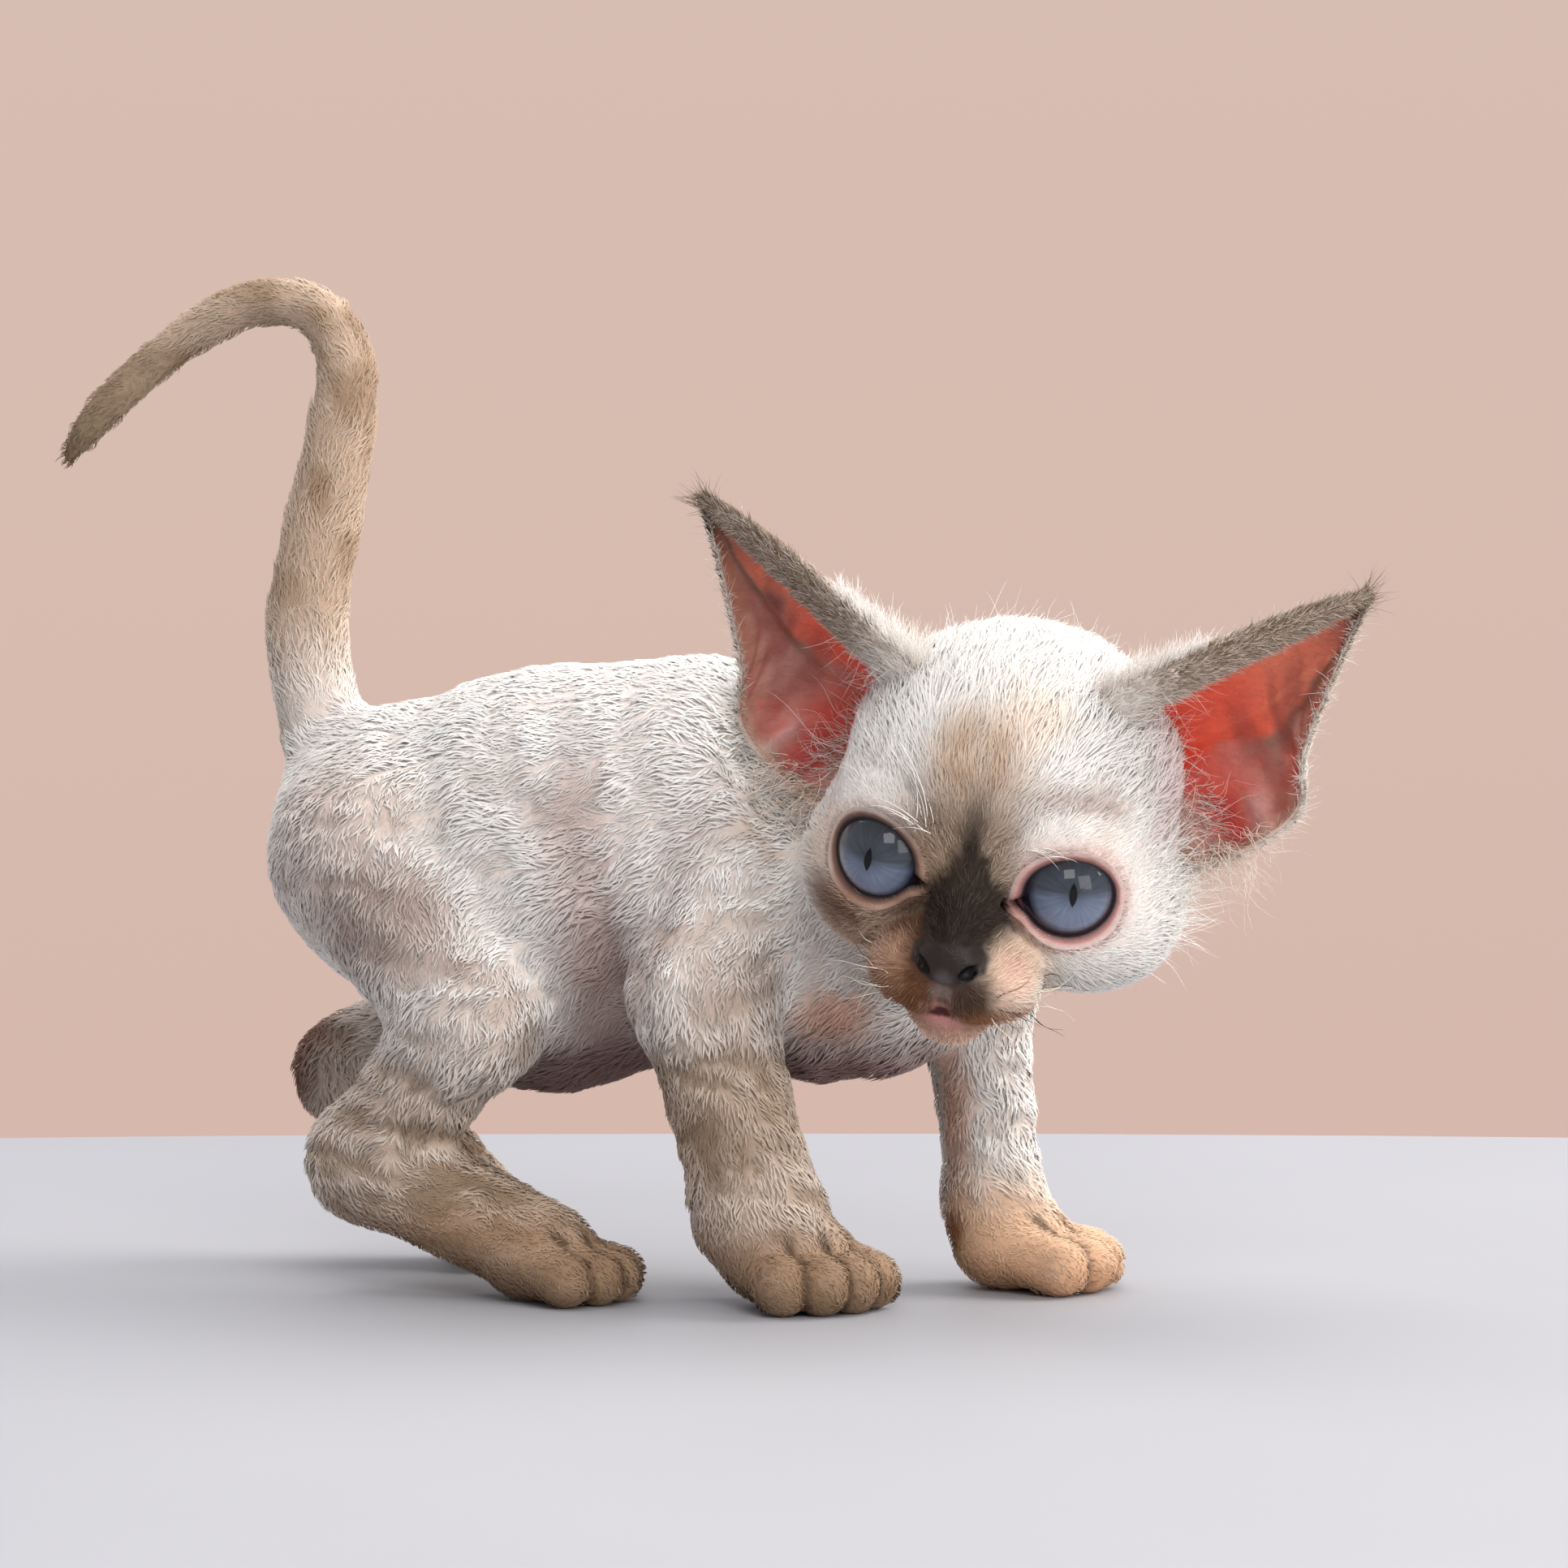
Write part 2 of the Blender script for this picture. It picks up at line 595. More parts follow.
def surface(field, axes):
    values = sampled(field, axes)
    inside = values < 0
    corner = [inside[i : i + inside.shape[0] - 1, j : j + inside.shape[1] - 1, k : k + inside.shape[2] - 1]
              for i in (0, 1) for j in (0, 1) for k in (0, 1)]
    count = sum(c.astype(np.int8) for c in corner)
    cells = np.argwhere((count > 0) & (count < 8))
    index = np.full(count.shape, -1, np.int64)
    index[tuple(cells.T)] = np.arange(len(cells))
    total = np.zeros((len(cells), 3))
    hits = np.zeros(len(cells))
    for axis in range(3):
        for i in (0, 1):
            for j in (0, 1):
                a = cells.copy()
                others = [k for k in range(3) if k != axis]
                a[:, others[0]] += i
                a[:, others[1]] += j
                b = a.copy()
                b[:, axis] += 1
                va, vb = values[tuple(a.T)], values[tuple(b.T)]
                crossed = (va < 0) != (vb < 0)
                t = np.where(crossed, va / np.where(crossed, va - vb, 1), 0)
                pa = np.stack([axes[k][a[:, k]] for k in range(3)], 1)
                pb = np.stack([axes[k][b[:, k]] for k in range(3)], 1)
                total += np.where(crossed[:, None], pa + (pb - pa) * t[:, None], 0)
                hits += crossed
    points = total / hits[:, None]
    cell_size = np.stack([np.diff(axes[k])[cells[:, k]] for k in range(3)], 1).min(1)
    home = points.copy()
    for _ in range(3):
        g = slope(field, points)
        d = field(points)
        move = -d[:, None] * g / np.maximum((g * g).sum(1), 0.2)[:, None]
        points = points + move * 0.9
        drift = points - home
        far = np.linalg.norm(drift, axis=1)
        points = home + drift * np.minimum(1, 0.7 * cell_size / np.maximum(far, 1e-9))[:, None]
    quads = []
    for axis in range(3):
        u, v = (axis + 1) % 3, (axis + 2) % 3
        first = [slice(1, n - 1) for n in values.shape]
        second = list(first)
        first[axis] = slice(0, values.shape[axis] - 1)
        second[axis] = slice(1, values.shape[axis])
        a, b = inside[tuple(first)], inside[tuple(second)]
        edges = np.argwhere(a != b)
        outward = a[tuple(edges.T)]
        edges = edges + [0 if k == axis else 1 for k in range(3)]
        ring = []
        for du, dv in ((0, 0), (-1, 0), (-1, -1), (0, -1)):
            c = edges.copy()
            c[:, u] += du
            c[:, v] += dv
            ring.append(index[tuple(c.T)])
        ring = np.stack(ring, 1)
        quads.append(np.where(outward[:, None], ring, ring[:, ::-1]))
    quads = np.concatenate(quads)
    return points, quads[(quads >= 0).all(1)]


def hashed(i, seed):
    i = i.astype(np.int64)
    h = (i[..., 0] * 73856093) ^ (i[..., 1] * 19349663) ^ (i[..., 2] * 83492791) ^ (seed * 2654435761)
    h = (h ^ (h >> 13)) * 1274126177
    return ((h ^ (h >> 16)) & 0xFFFF) / 65535.0


def noise(p, size, seed):
    """Smooth random values from -1 to 1, with lumps of about the given size."""
    q = np.asarray(p, float) / size + 100.0
    base = np.floor(q)
    f = q - base
    f = f * f * (3 - 2 * f)
    out = 0
    for dx in (0, 1):
        for dy in (0, 1):
            for dz in (0, 1):
                wx, wy, wz = (np.where(d, f[:, i], 1 - f[:, i]) for i, d in enumerate((dx, dy, dz)))
                out = out + wx * wy * wz * hashed(base + [dx, dy, dz], seed)
    return out * 2 - 1


def rgb(r, g, b):
    """A colour as a person names it on a screen, turned into light."""
    c = np.array([r, g, b], float) / 255
    return np.where(c <= 0.04045, c / 12.92, ((c + 0.055) / 1.055) ** 2.4)


def regions(p):
    """How near each point is to the trunk, neck, tail, head and each limb, as shares that add to one."""
    tail_d, share = tail_place(p)
    gaps = [trunk_field(p), neck_field(p), tail_d, face_field(to_head(p)), *(limb[1](p) for limb in LIMBS)]
    gaps = np.stack(gaps, 1)
    weight = np.exp(-np.clip(gaps - gaps.min(1, keepdims=True), 0, 40) / 2.2)
    return weight / weight.sum(1, keepdims=True), share


NAMES = ["trunk", "neck", "tail", "head", *(limb[0] for limb in LIMBS)]
COLUMN = {name: i for i, name in enumerate(NAMES)}


def tail_ahead(share):
    place = share * TAIL_STEPS
    i = np.clip(place.astype(int), 0, TAIL_STEPS - 1)
    return unit(TAIL_LINE[i + 1] - TAIL_LINE[i])


def coat_lie(p, n, weight, share):
    """The way the hair lies at each point, along the skin."""
    flat = np.zeros_like(p)
    side_on = np.abs(n[:, 1])
    trunk = np.stack([-np.ones(len(p)), np.zeros(len(p)), -0.55 * side_on], 1)
    flat += weight[:, :1] * trunk
    flat += weight[:, 1:2] * np.array([-0.8, 0.1, -0.5])
    flat += weight[:, 2:3] * tail_ahead(share)
    q = to_head(p)
    away = q - FUR_FROM
    away[:, 0] -= 10 * step(0, 22, np.abs(q[:, 1]) + np.abs(q[:, 2]))
    flat += weight[:, 3:4] * (unit(away) @ HEAD_AXES.T)
    for i, limb in enumerate(LIMBS):
        flat += weight[:, 4 + i : 5 + i] * limb[2]
    return unit(level(flat, n))


def ripple(p, weight, share):
    """The waves of the rexed coat, from -1 in their hollows to 1 on their crests."""
    x, y, z = p.T
    bend = noise(p, 9, 5) * 2.2
    trunk = 0.75 * noise(np.stack([x + bend, y * 0.45, z * 0.5 + bend], 1), 3.4, 11)
    trunk = trunk + 0.5 * noise(np.stack([x * 0.8 + z * 0.5, y * 0.5, z * 0.4 - x * 0.25], 1), 6.5, 15)
    legs = noise(np.stack([x * 0.35, y * 0.35, z + 0.7 * bend], 1), 2.1, 12)
    legs = 0.8 * legs + 0.35 * noise(p, 3.2, 16)
    tail = noise(np.stack([share * 190, y * 0.5, z * 0.2], 1), 3.4, 13)
    head = noise(p, 2.4, 14) * 0.55
    parts = zip(weight[:, :4].T, (trunk, trunk, tail, head))
    return sum(w * part for w, part in parts) + weight[:, 4:].sum(1) * legs


def toward(base, colour, amount):
    return mix(base, colour, np.clip(amount, 0, 1)[:, None])


def spot(p, at, r):
    """1 in the middle of a soft egg and 0 outside it."""
    return step(1, 0.25, np.sqrt((((p - at) / r) ** 2).sum(1)))


def patches(col, p, rows, share=1):
    """Soft spots of colour, one over another: each a colour, its strength, its middle and its size."""
    for colour, strength, at, r in rows:
        col = toward(col, rgb(*colour), strength * spot(p, at, r) * share)
    return col


WHITE = rgb(250, 246, 240)
BEIGE = rgb(190, 166, 144)
BROWN = rgb(148, 124, 98)
DARK_PAW = rgb(168, 134, 104)
LEG_TONE = {"thigh": 0.35, "shank": 0.75, "foot": 0.95, "upper": 0.5, "forearm": 0.95, "paw": 1}
FAR_FORELEG_TONE = 0.12  # of that, on the left foreleg, which is nearly white


def body_colour(p, weight, share):
    """The markings of the body: beige and brown to the feet, darker in the hollows of the coat's waves."""
    x, y, z = p.T
    col = np.broadcast_to(WHITE, p.shape).copy()
    wide = noise(p, 11, 21)
    fine = noise(p, 4.2, 22)
    waves = ripple(p, weight, share)
    mottled = 0.8 + 0.2 * fine
    col = toward(col, rgb(224, 212, 203), 0.38 * step(0.0, 0.8, wide + 0.5 * fine) * step(92, 74, z))
    col = toward(col, rgb(194, 174, 160), 0.32 * step(0.0, -0.7, waves) * step(98, 84, z + 4 * wide))
    low = step(64, 30, z + 6 * wide)
    hollows = step(0.15, -0.45, waves + 0.2 * fine)
    for name, full in LEG_TONE.items():
        for s in SIDES:
            w = weight[:, COLUMN[name + "_" + s]]
            tone = full * FAR_FORELEG_TONE if s == "left" and name in ("upper", "forearm", "paw") else full
            col = toward(col, BEIGE, tone * w * np.maximum(low, 0.25))
            col = toward(col, BROWN, np.minimum(1, 1.3 * tone) * w * np.maximum(low, 0.3) * hollows * 0.85)
    paws = step(17, 9, z + 2 * wide)
    far_fore = step(8, 14, x) * step(2, 6, y)
    col = toward(col, DARK_PAW, 0.85 * paws * (1 - far_fore) * (0.85 + 0.15 * fine))
    col = toward(col, rgb(224, 184, 146), 0.9 * step(23, 7, z + 3 * wide) * far_fore)
    toes = step(9, 2.5, z)
    cleft = np.zeros(len(p))
    at_toes = (z < 13).nonzero()[0]
    if len(at_toes):
        gaps = np.sort(np.stack([toe(p[at_toes]) for toe in toe_fields], 1), axis=1)
        cleft[at_toes] = step(1.3, 0.2, gaps[:, 1] - gaps[:, 0]) * step(3, 1, gaps[:, 0])
    col = toward(col, rgb(124, 100, 76), 0.55 * toes * (1 - far_fore))
    col = toward(col, rgb(204, 150, 110), 0.55 * toes * far_fore)
    col = toward(col, rgb(84, 62, 46), 0.8 * cleft)
    # The far foreleg and hock, the chest, and the belly.
    col = patches(col, p, [((150, 96, 58), 0.9, [14, 11, 9.5], [4.5, 5, 6])])
    col = patches(col, p, [((226, 166, 132), 0.9, [13.5, 8, 28], [5.5, 8, 20])], mottled)
    col = patches(col, p, [((100, 64, 49), 0.95, [-98, 16, 33], [15, 13, 14]),
                           ((214, 164, 140), 0.85, [3, -12, 45], [10, 7, 7])])
    col = toward(col, rgb(132, 98, 94), 0.9 * step(47, 37, z + 2 * wide) * weight[:, 0])
    # The near side: flank, rump, thigh and upper arm.
    col = patches(col, p, [((144, 112, 102), 0.9, [-32, -20, 50], [11, 18, 26])], mottled)
    col = patches(col, p, [((204, 186, 175), 0.6, [-78, -22, 72], [20, 18, 18]),
                           ((172, 152, 140), 0.75, [-66, -31, 60], [20, 15, 15])])
    col = patches(col, p, [((180, 160, 146), 0.65, [-2, -30, 53], [16, 14, 15])], mottled)
    col = patches(col, p, [((176, 156, 146), 0.6, [-62, -33, 64], [13, 12, 10]),
                           ((176, 156, 146), 0.6, [-72, -30, 60], [10, 12, 14]),
                           ((176, 156, 146), 0.6, [-52, -30, 52], [8, 12, 8])], step(0.5, -0.3, waves))
    col = patches(col, p, [((214, 196, 188), 0.6, [-36, -24, 72], [9, 14, 26])])
    col = toward(col, rgb(168, 142, 132), 0.6 * fold_share(p))
    col = patches(col, p, [((196, 172, 148), 0.6, [-3, -20, 74], [9, 9, 8])], step(0, 0.5, fine))
    # The tail, mottled, and darker inside its bend and to its tip.
    tail = weight[:, 2]
    mottle = step(-0.05, 0.5, noise(p, 5.5, 31) + 0.35 * fine)
    col = toward(col, rgb(204, 180, 157), tail * step(0.04, 0.22, share))
    col = toward(col, rgb(166, 136, 108), 0.75 * tail * mottle * step(0.1, 0.3, share))
    inner_curve = step(2, -4, z - 150) * step(-88, -92, x) * step(0.45, 0.55, share)
    col = toward(col, rgb(150, 124, 92), 0.6 * tail * inner_curve)
    col = toward(col, rgb(132, 108, 82), tail * step(0.8, 1.0, share))
    return patches(col, p, [((176, 148, 116), 0.8, [-97, -3, 84], [6, 9, 7])])


CREASES = [np.array(line, float) for line in (  # under the right eye
    [[15, -24, -7], [19, -20.5, -9.5], [23, -14, -10.5], [25.5, -9, -8.5]],
    [[19.5, -20, -12.5], [24, -13, -13.5], [26.5, -9.5, -11]],
)]
STRIPE_AT = 0.4  # the middle of the dark stripe down the nose, off the head's own middle


def face_colour(q):
    """The mask of the face, in the head's frame."""
    x, y, z = q.T
    right = step(3, -4, y)
    fine = noise(q, 2.2, 41)
    wide = noise(q, 6.5, 42)
    wander = 1.4 * wide + 0.5 * fine
    col = np.broadcast_to(WHITE, q.shape).copy()
    front = step(2, 12, x)
    # The brow and both cheeks.
    col = toward(col, rgb(226, 205, 188), 0.35 * step(0.2, 0.8, wide) * front)
    col = patches(col, q, [((200, 162, 126), 0.95, [20, -1, 18], [12, 11, 12.5])], 0.8 + 0.2 * fine)
    col = col * (1 - 0.12 * step(6, 18, z))[:, None]
    col = patches(col, q, [((232, 206, 182), 0.55, [14, 6, 24], [9, 8, 7])])
    mask = step(12.5, 5, np.abs(y + 1.0) + wander) * step(18, 9, z + wander) * front
    col = toward(col, rgb(146, 120, 98), 0.9 * mask)
    col = toward(col, rgb(200, 166, 136), 0.75 * right * step(8, 0, z) * step(-26, -18, y) * front)
    col = patches(col, q, [((222, 194, 168), 0.55, [12, -24, -4], [9, 8, 12])])
    col = toward(col, rgb(224, 198, 176), 0.6 * (1 - right) * step(2, -8, z) * step(18, 10, y) * front)
    col = patches(col, q, [((124, 88, 66), 0.85, [19, -20, -9.5], [9, 12, 6])])
    # The dark stripe, which widens into the nose, and the marks below both eyes.
    width = mix(0.9, 6.2, step(7, -4, z)) + 0.5 * fine
    stripe = step(width + 2.4, width - 0.8, np.abs(y - STRIPE_AT)) * step(18, 6, z) * step(16, 20, x)
    col = toward(col, rgb(36, 25, 18), 0.93 * stripe)
    col = patches(col, q, [((26, 17, 12), 0.97, [28, -1.4, -5.5], [12, 10, 10.5])], step(-12.5, -10.5, z))
    col = patches(col, q, [((70, 52, 42), 0.9, [25, -8.5, -6.5], [6, 4.6, 8]),
                           ((186, 130, 110), 0.6, [24.5, 8.6, -4], [3.5, 2.2, 4])])
    for crease in CREASES:
        col = toward(col, rgb(84, 58, 42), 0.6 * step(1.1, 0.2, line_distance(crease, q)))
    # The muzzle, the chin and the lips.
    col = patches(col, q, [((128, 80, 48), 0.92, [26, -6, -15.5], [14, 14.5, 12])], step(6.5, 0, y))
    col = patches(col, q, [((236, 208, 182), 0.9, [27, 9, -10.5], [10, 7, 7]),
                           ((160, 102, 58), 0.9, [27.5, 8, -18], [10, 8.5, 5.5]),
                           ((246, 200, 174), 0.9, [26, 0, -24], [11, 11, 7]),
                           ((76, 54, 42), 0.85, [30.5, 4.5, -13.4], [5, 5, 3.8]),
                           ((134, 112, 106), 0.8, [32, -0.3, -13.8], [4, 2.6, 3.4]),
                           ((176, 126, 116), 0.6, [31, -1, -16.4], [4, 3.2, 1.4]),
                           ((206, 146, 140), 0.85, [31, 0, -19.4], [5, 5.2, 2.4])])
    line = lip_distance(q)
    middle_gap = spot(q, [31.5, -0.4, -17.7], [4, 3.6, 1.5])
    col = toward(col, rgb(70, 24, 24), 0.97 * step(0.8, 0.35, line - 0.5 * middle_gap) * step(-14.5, -15.5, z))
    col = toward(col, rgb(30, 20, 18), 0.95 * step(0.62, 0.25, line) * step(-16.5, -15.5, z))
    nose = nose_share(q)
    col = toward(col, rgb(42, 32, 29), 0.95 * nose)
    col = toward(col, rgb(98, 88, 88), 0.75 * nose * spot(q, [33, 0, -11], [3, 2.2, 2.6]))
    # Round each eye, and in each nostril.
    off_bridge = step(5.5, 8.5, np.abs(y - STRIPE_AT))
    for side, tone, strength in ((1, rgb(216, 160, 148), 0.45), (-1, rgb(190, 146, 124), 0.4)):
        gap = np.maximum(0, lid_gap(q, side))
        near_eye = step(24, 14, np.linalg.norm(q - on_side(EYE["at"], side), axis=1))
        col = toward(col, tone, strength * near_eye * off_bridge * step(1.4, 0.2, gap))
        folds = np.exp(-(((gap - 3.1) / 0.55) ** 2)) * near_eye * off_bridge
        col = toward(col, rgb(140, 98, 78), 0.45 * folds * step(-6, 6, side * z))
        inner = (q - on_side(NOSTRIL[0], side)) @ turned("X", 35 * side)
        col = toward(col, rgb(10, 7, 7), step(1.3, 1.0, np.linalg.norm(inner / NOSTRIL[1], axis=1)))
    ear_root = np.maximum(*(spot(q, [-1, 22 * side, 8], [12, 12, 14]) for side in (1, -1)))
    return toward(col, rgb(232, 208, 206), 0.5 * ear_root)


def nose_share(q):
    """1 on the bare leather of the nose."""
    x, y, z = q.T
    top = -5.7 - 0.035 * y**2
    low = mix(-12.0, -10.2, step(1.0, 4.8, np.abs(y)))
    across = step(28.2, 29.4, x) * step(6.3, 5.5, np.abs(y))
    return across * step(top + 0.5, top - 0.5, z) * step(low - 0.4, low + 0.4, z)


def colours(p):
    weight, share = regions(p)
    col = body_colour(p, weight, share)
    q = to_head(p)
    on_head = step(0.35, 0.7, weight[:, 3])
    return mix(col, face_colour(q), on_head[:, None]), weight, share


# Blender meshes from plain arrays.
def mesh_from(name, points, faces, smooth=True):
    """A mesh object from places in millimetres and faces of three or four corners."""
    faces = np.asarray(faces)
    me = bpy.data.meshes.new(name)
    count, corners = faces.shape
    me.vertices.add(len(points))
    me.vertices.foreach_set("co", metres(points).astype(np.float32).ravel())
    me.loops.add(count * corners)
    me.loops.foreach_set("vertex_index", faces.astype(np.int32).ravel())
    me.polygons.add(count)
    me.polygons.foreach_set("loop_start", np.arange(0, count * corners, corners, dtype=np.int32))
    me.update(calc_edges=True)
    me.polygons.foreach_set("use_smooth", np.full(count, smooth))
    obj = bpy.data.objects.new(name, me)
    bpy.context.scene.collection.objects.link(obj)
    return obj


def paint(obj, colour):
    layer = obj.data.color_attributes.new("Col", "FLOAT_COLOR", "POINT")
    rgba = np.ones((len(colour), 4), np.float32)
    rgba[:, :3] = colour
    layer.data.foreach_set("color", rgba.ravel())


def numbers(obj, name, values):
    layer = obj.data.attributes.new(name, "FLOAT", "POINT")
    layer.data.foreach_set("value", np.asarray(values, np.float32))


def settle(obj, material, slot, *nodes):
    obj.data.materials.append(material)
    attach(obj, "root")
    if nodes:
        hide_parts(*nodes)


def bake_patches(obj, faces, patch):
    """The coat's UV map: each tuft or thread is a small patch at its root's place on an unwrap of the skin."""
    layer = obj.data.uv_layers.new(name="OFBake")
    layer.data.foreach_set("uv", patch.reshape(-1, 2)[faces.ravel()].astype(np.float32).ravel())


# Materials.
class Nodes:
    """A short way to write a material's nodes."""

    def __init__(self, name):
        self.material = bpy.data.materials.new(name)
        self.material.use_nodes = True
        self.tree = self.material.node_tree
        self.shader = self.tree.nodes["Principled BSDF"]

    def add(self, kind, **settings):
        node = self.tree.nodes.new("ShaderNode" + kind)
        for key, value in settings.items():
            setattr(node, key, value)
        return node

    def link(self, source, target):
        self.tree.links.new(source, target)

    def attribute(self, name, output="Color"):
        return self.add("Attribute", attribute_name=name).outputs[output]

    def math(self, operation, a, b=None, c=None):
        node = self.add("Math", operation=operation)
        for socket, value in zip(node.inputs, (a, b, c)):
            if value is None:
                continue
            if isinstance(value, (int, float)):
                socket.default_value = value
            else:
                self.link(value, socket)
        return node.outputs[0]

    def noise(self, scale, detail=3, roughness=0.55, stretch=None):
        place = self.add("TexCoord").outputs["Object"]
        if stretch:
            mapping = self.add("Mapping")
            mapping.inputs["Scale"].default_value = stretch
            self.link(place, mapping.inputs["Vector"])
            place = mapping.outputs[0]
        node = self.add("TexNoise")
        node.inputs["Scale"].default_value = scale
        node.inputs["Detail"].default_value = detail
        node.inputs["Roughness"].default_value = roughness
        self.link(place, node.inputs["Vector"])
        return node.outputs["Fac"]

    def ramp(self, value, *stops):
        node = self.add("ValToRGB")
        ramp = node.color_ramp
        while len(ramp.elements) < len(stops):
            ramp.elements.new(0.5)
        for element, (place, colour) in zip(ramp.elements, stops):
            element.position = place
            element.color = (*colour, 1) if not isinstance(colour, (int, float)) else (colour, colour, colour, 1)
        self.link(value, node.inputs[0])
        return node.outputs["Color"]

    def blend(self, kind, share, a, b):
        node = self.add("Mix", data_type="RGBA", blend_type=kind)
        for socket, value in ((node.inputs[0], share), (node.inputs[6], a), (node.inputs[7], b)):
            if isinstance(value, (int, float)):
                socket.default_value = value
            elif isinstance(value, (tuple, list, np.ndarray)):
                socket.default_value = (*value, 1)
            else:
                self.link(value, socket)
        return node.outputs[2]

    def bump(self, height, strength, distance):
        node = self.add("Bump")
        node.inputs["Strength"].default_value = strength
        node.inputs["Distance"].default_value = distance
        self.link(height, node.inputs["Height"])
        self.link(node.outputs[0], self.shader.inputs["Normal"])

    def set(self, **values):
        for key, value in values.items():
            self.shader.inputs[key.replace("_", " ")].default_value = value


def skin_material():
    m = Nodes("kitten_skin")
    grain = m.noise(900, 4)
    fuzz = m.noise(2600, 2)
    tone = m.ramp(grain, (0.3, 0.86), (0.7, 1.0))
    colour = m.blend("MULTIPLY", 1.0, m.attribute("Col"), tone)
    m.link(colour, m.shader.inputs["Base Color"])
    bare = m.attribute("Bare", "Fac")
    m.link(m.math("MULTIPLY_ADD", bare, -0.3, 0.72), m.shader.inputs["Roughness"])
    m.bump(m.math("ADD", grain, m.math("MULTIPLY", fuzz, 0.5)), 0.5, 0.0004)
    m.set(Subsurface_Weight=0.12, Subsurface_Scale=0.0015, Specular_IOR_Level=0.25)
    m.shader.inputs["Subsurface Radius"].default_value = (1.0, 0.35, 0.2)
    return m.material


def coat_material(name, roughness, sheen):
    m = Nodes(name)
    streak = m.noise(1800, 2)
    tone = m.ramp(streak, (0.25, 0.88), (0.75, 1.0))
    m.link(m.blend("MULTIPLY", 1.0, m.attribute("Col"), tone), m.shader.inputs["Base Color"])
    m.link(m.math("MULTIPLY_ADD", streak, 0.15, roughness), m.shader.inputs["Roughness"])
    m.set(Sheen_Weight=sheen, Sheen_Roughness=0.5, Specular_IOR_Level=0.06)
    return m.material


def ear_material():
    m = Nodes("ear_skin")
    grain = m.noise(700, 4)
    veins = m.noise(220, 3, 0.6, (1, 1, 2.4))
    tone = m.ramp(grain, (0.3, 0.88), (0.7, 1.0))
    colour = m.blend("MULTIPLY", 1.0, m.attribute("Col"), tone)
    line = m.ramp(veins, (0.46, 1.0), (0.5, 0.82), (0.54, 1.0))
    m.link(m.blend("MULTIPLY", 0.7, colour, line), m.shader.inputs["Base Color"])
    m.link(m.math("MULTIPLY_ADD", grain, 0.2, 0.42), m.shader.inputs["Roughness"])
    m.bump(m.math("ADD", grain, veins), 0.45, 0.0005)
    m.set(Subsurface_Weight=0.35, Subsurface_Scale=0.002)
    m.shader.inputs["Subsurface Radius"].default_value = (1.0, 0.3, 0.16)
    return m.material


PUPIL = dict(half_wide=0.085, half_tall=0.24)  # as shares of the eyeball's radius


def eye_material():
    m = Nodes("eye_glass")
    split = m.add("SeparateXYZ")
    m.link(m.attribute("Gaze", "Vector"), split.inputs[0])
    across, up = split.outputs[0], split.outputs[1]
    size = m.math("SQRT", m.math("ADD", m.math("MULTIPLY", across, across), m.math("MULTIPLY", up, up)))
    angle = m.math("ARCTAN2", up, across)
    fibre_at = m.add("CombineXYZ")
    m.link(m.math("MULTIPLY", m.math("COSINE", angle), 9), fibre_at.inputs[0])
    m.link(m.math("MULTIPLY", m.math("SINE", angle), 9), fibre_at.inputs[1])
    m.link(m.math("MULTIPLY", size, 1.6), fibre_at.inputs[2])
    fibres = m.add("TexNoise")
    fibres.inputs["Scale"].default_value = 1.0
    fibres.inputs["Detail"].default_value = 6
    fibres.inputs["Roughness"].default_value = 0.7
    m.link(fibre_at.outputs[0], fibres.inputs["Vector"])
    fall = m.ramp(m.math("MULTIPLY_ADD", up, 0.55, 0.5), (0.2, rgb(122, 133, 157)), (0.44, rgb(98, 108, 127)),
                  (0.53, rgb(64, 69, 79)), (0.8, rgb(50, 53, 59)))
    streak = m.ramp(fibres.outputs["Fac"], (0.3, 0.72), (0.7, 1.12))
    iris = m.blend("MULTIPLY", 1.0, fall, streak)
    middle = m.ramp(size, (0.0, 0.55), (0.16, 0.8), (0.34, 1.0), (0.6, 0.95))
    iris = m.blend("MULTIPLY", 1.0, iris, middle)
    rim = m.ramp(size, (0.66, 0.0), (0.76, 0.7), (0.8, 1.0))
    iris = m.blend("MIX", rim, iris, rgb(22, 20, 34))
    white = m.ramp(size, (0.9, 0.0), (0.95, 1.0))
    iris = m.blend("MIX", white, iris, rgb(120, 84, 84))
    slit_across = m.math("ABSOLUTE", m.math("DIVIDE", across, PUPIL["half_wide"]))
    slit_up = m.math("POWER", m.math("ABSOLUTE", m.math("DIVIDE", up, PUPIL["half_tall"])), 2)
    slit = m.math("ADD", slit_across, slit_up)
    pupil = m.ramp(slit, (0.75, 1.0), (1.15, 0.0))
    m.link(m.blend("MIX", pupil, iris, rgb(5, 5, 8)), m.shader.inputs["Base Color"])
    m.link(m.math("MULTIPLY_ADD", fibres.outputs["Fac"], 0.08, 0.1), m.shader.inputs["Roughness"])
    m.set(Coat_Weight=0.8, Coat_Roughness=0.012, Coat_IOR=1.33, Specular_IOR_Level=0.05)
    return m.material


def horn_material():
    m = Nodes("claw_horn")
    grain = m.noise(1500, 3)
    m.link(m.ramp(grain, (0.3, rgb(150, 122, 102)), (0.7, rgb(182, 158, 140))), m.shader.inputs["Base Color"])
    m.bump(grain, 0.3, 0.0001)
    m.set(Roughness=0.35, Coat_Weight=0.3)
    return m.material


SKIN = skin_material()
COAT = coat_material("kitten_coat", 0.62, 0.04)
WISP = coat_material("long_hair", 0.45, 0.2)
EAR_SKIN = ear_material()
EYE_GLASS = eye_material()
HORN = horn_material()

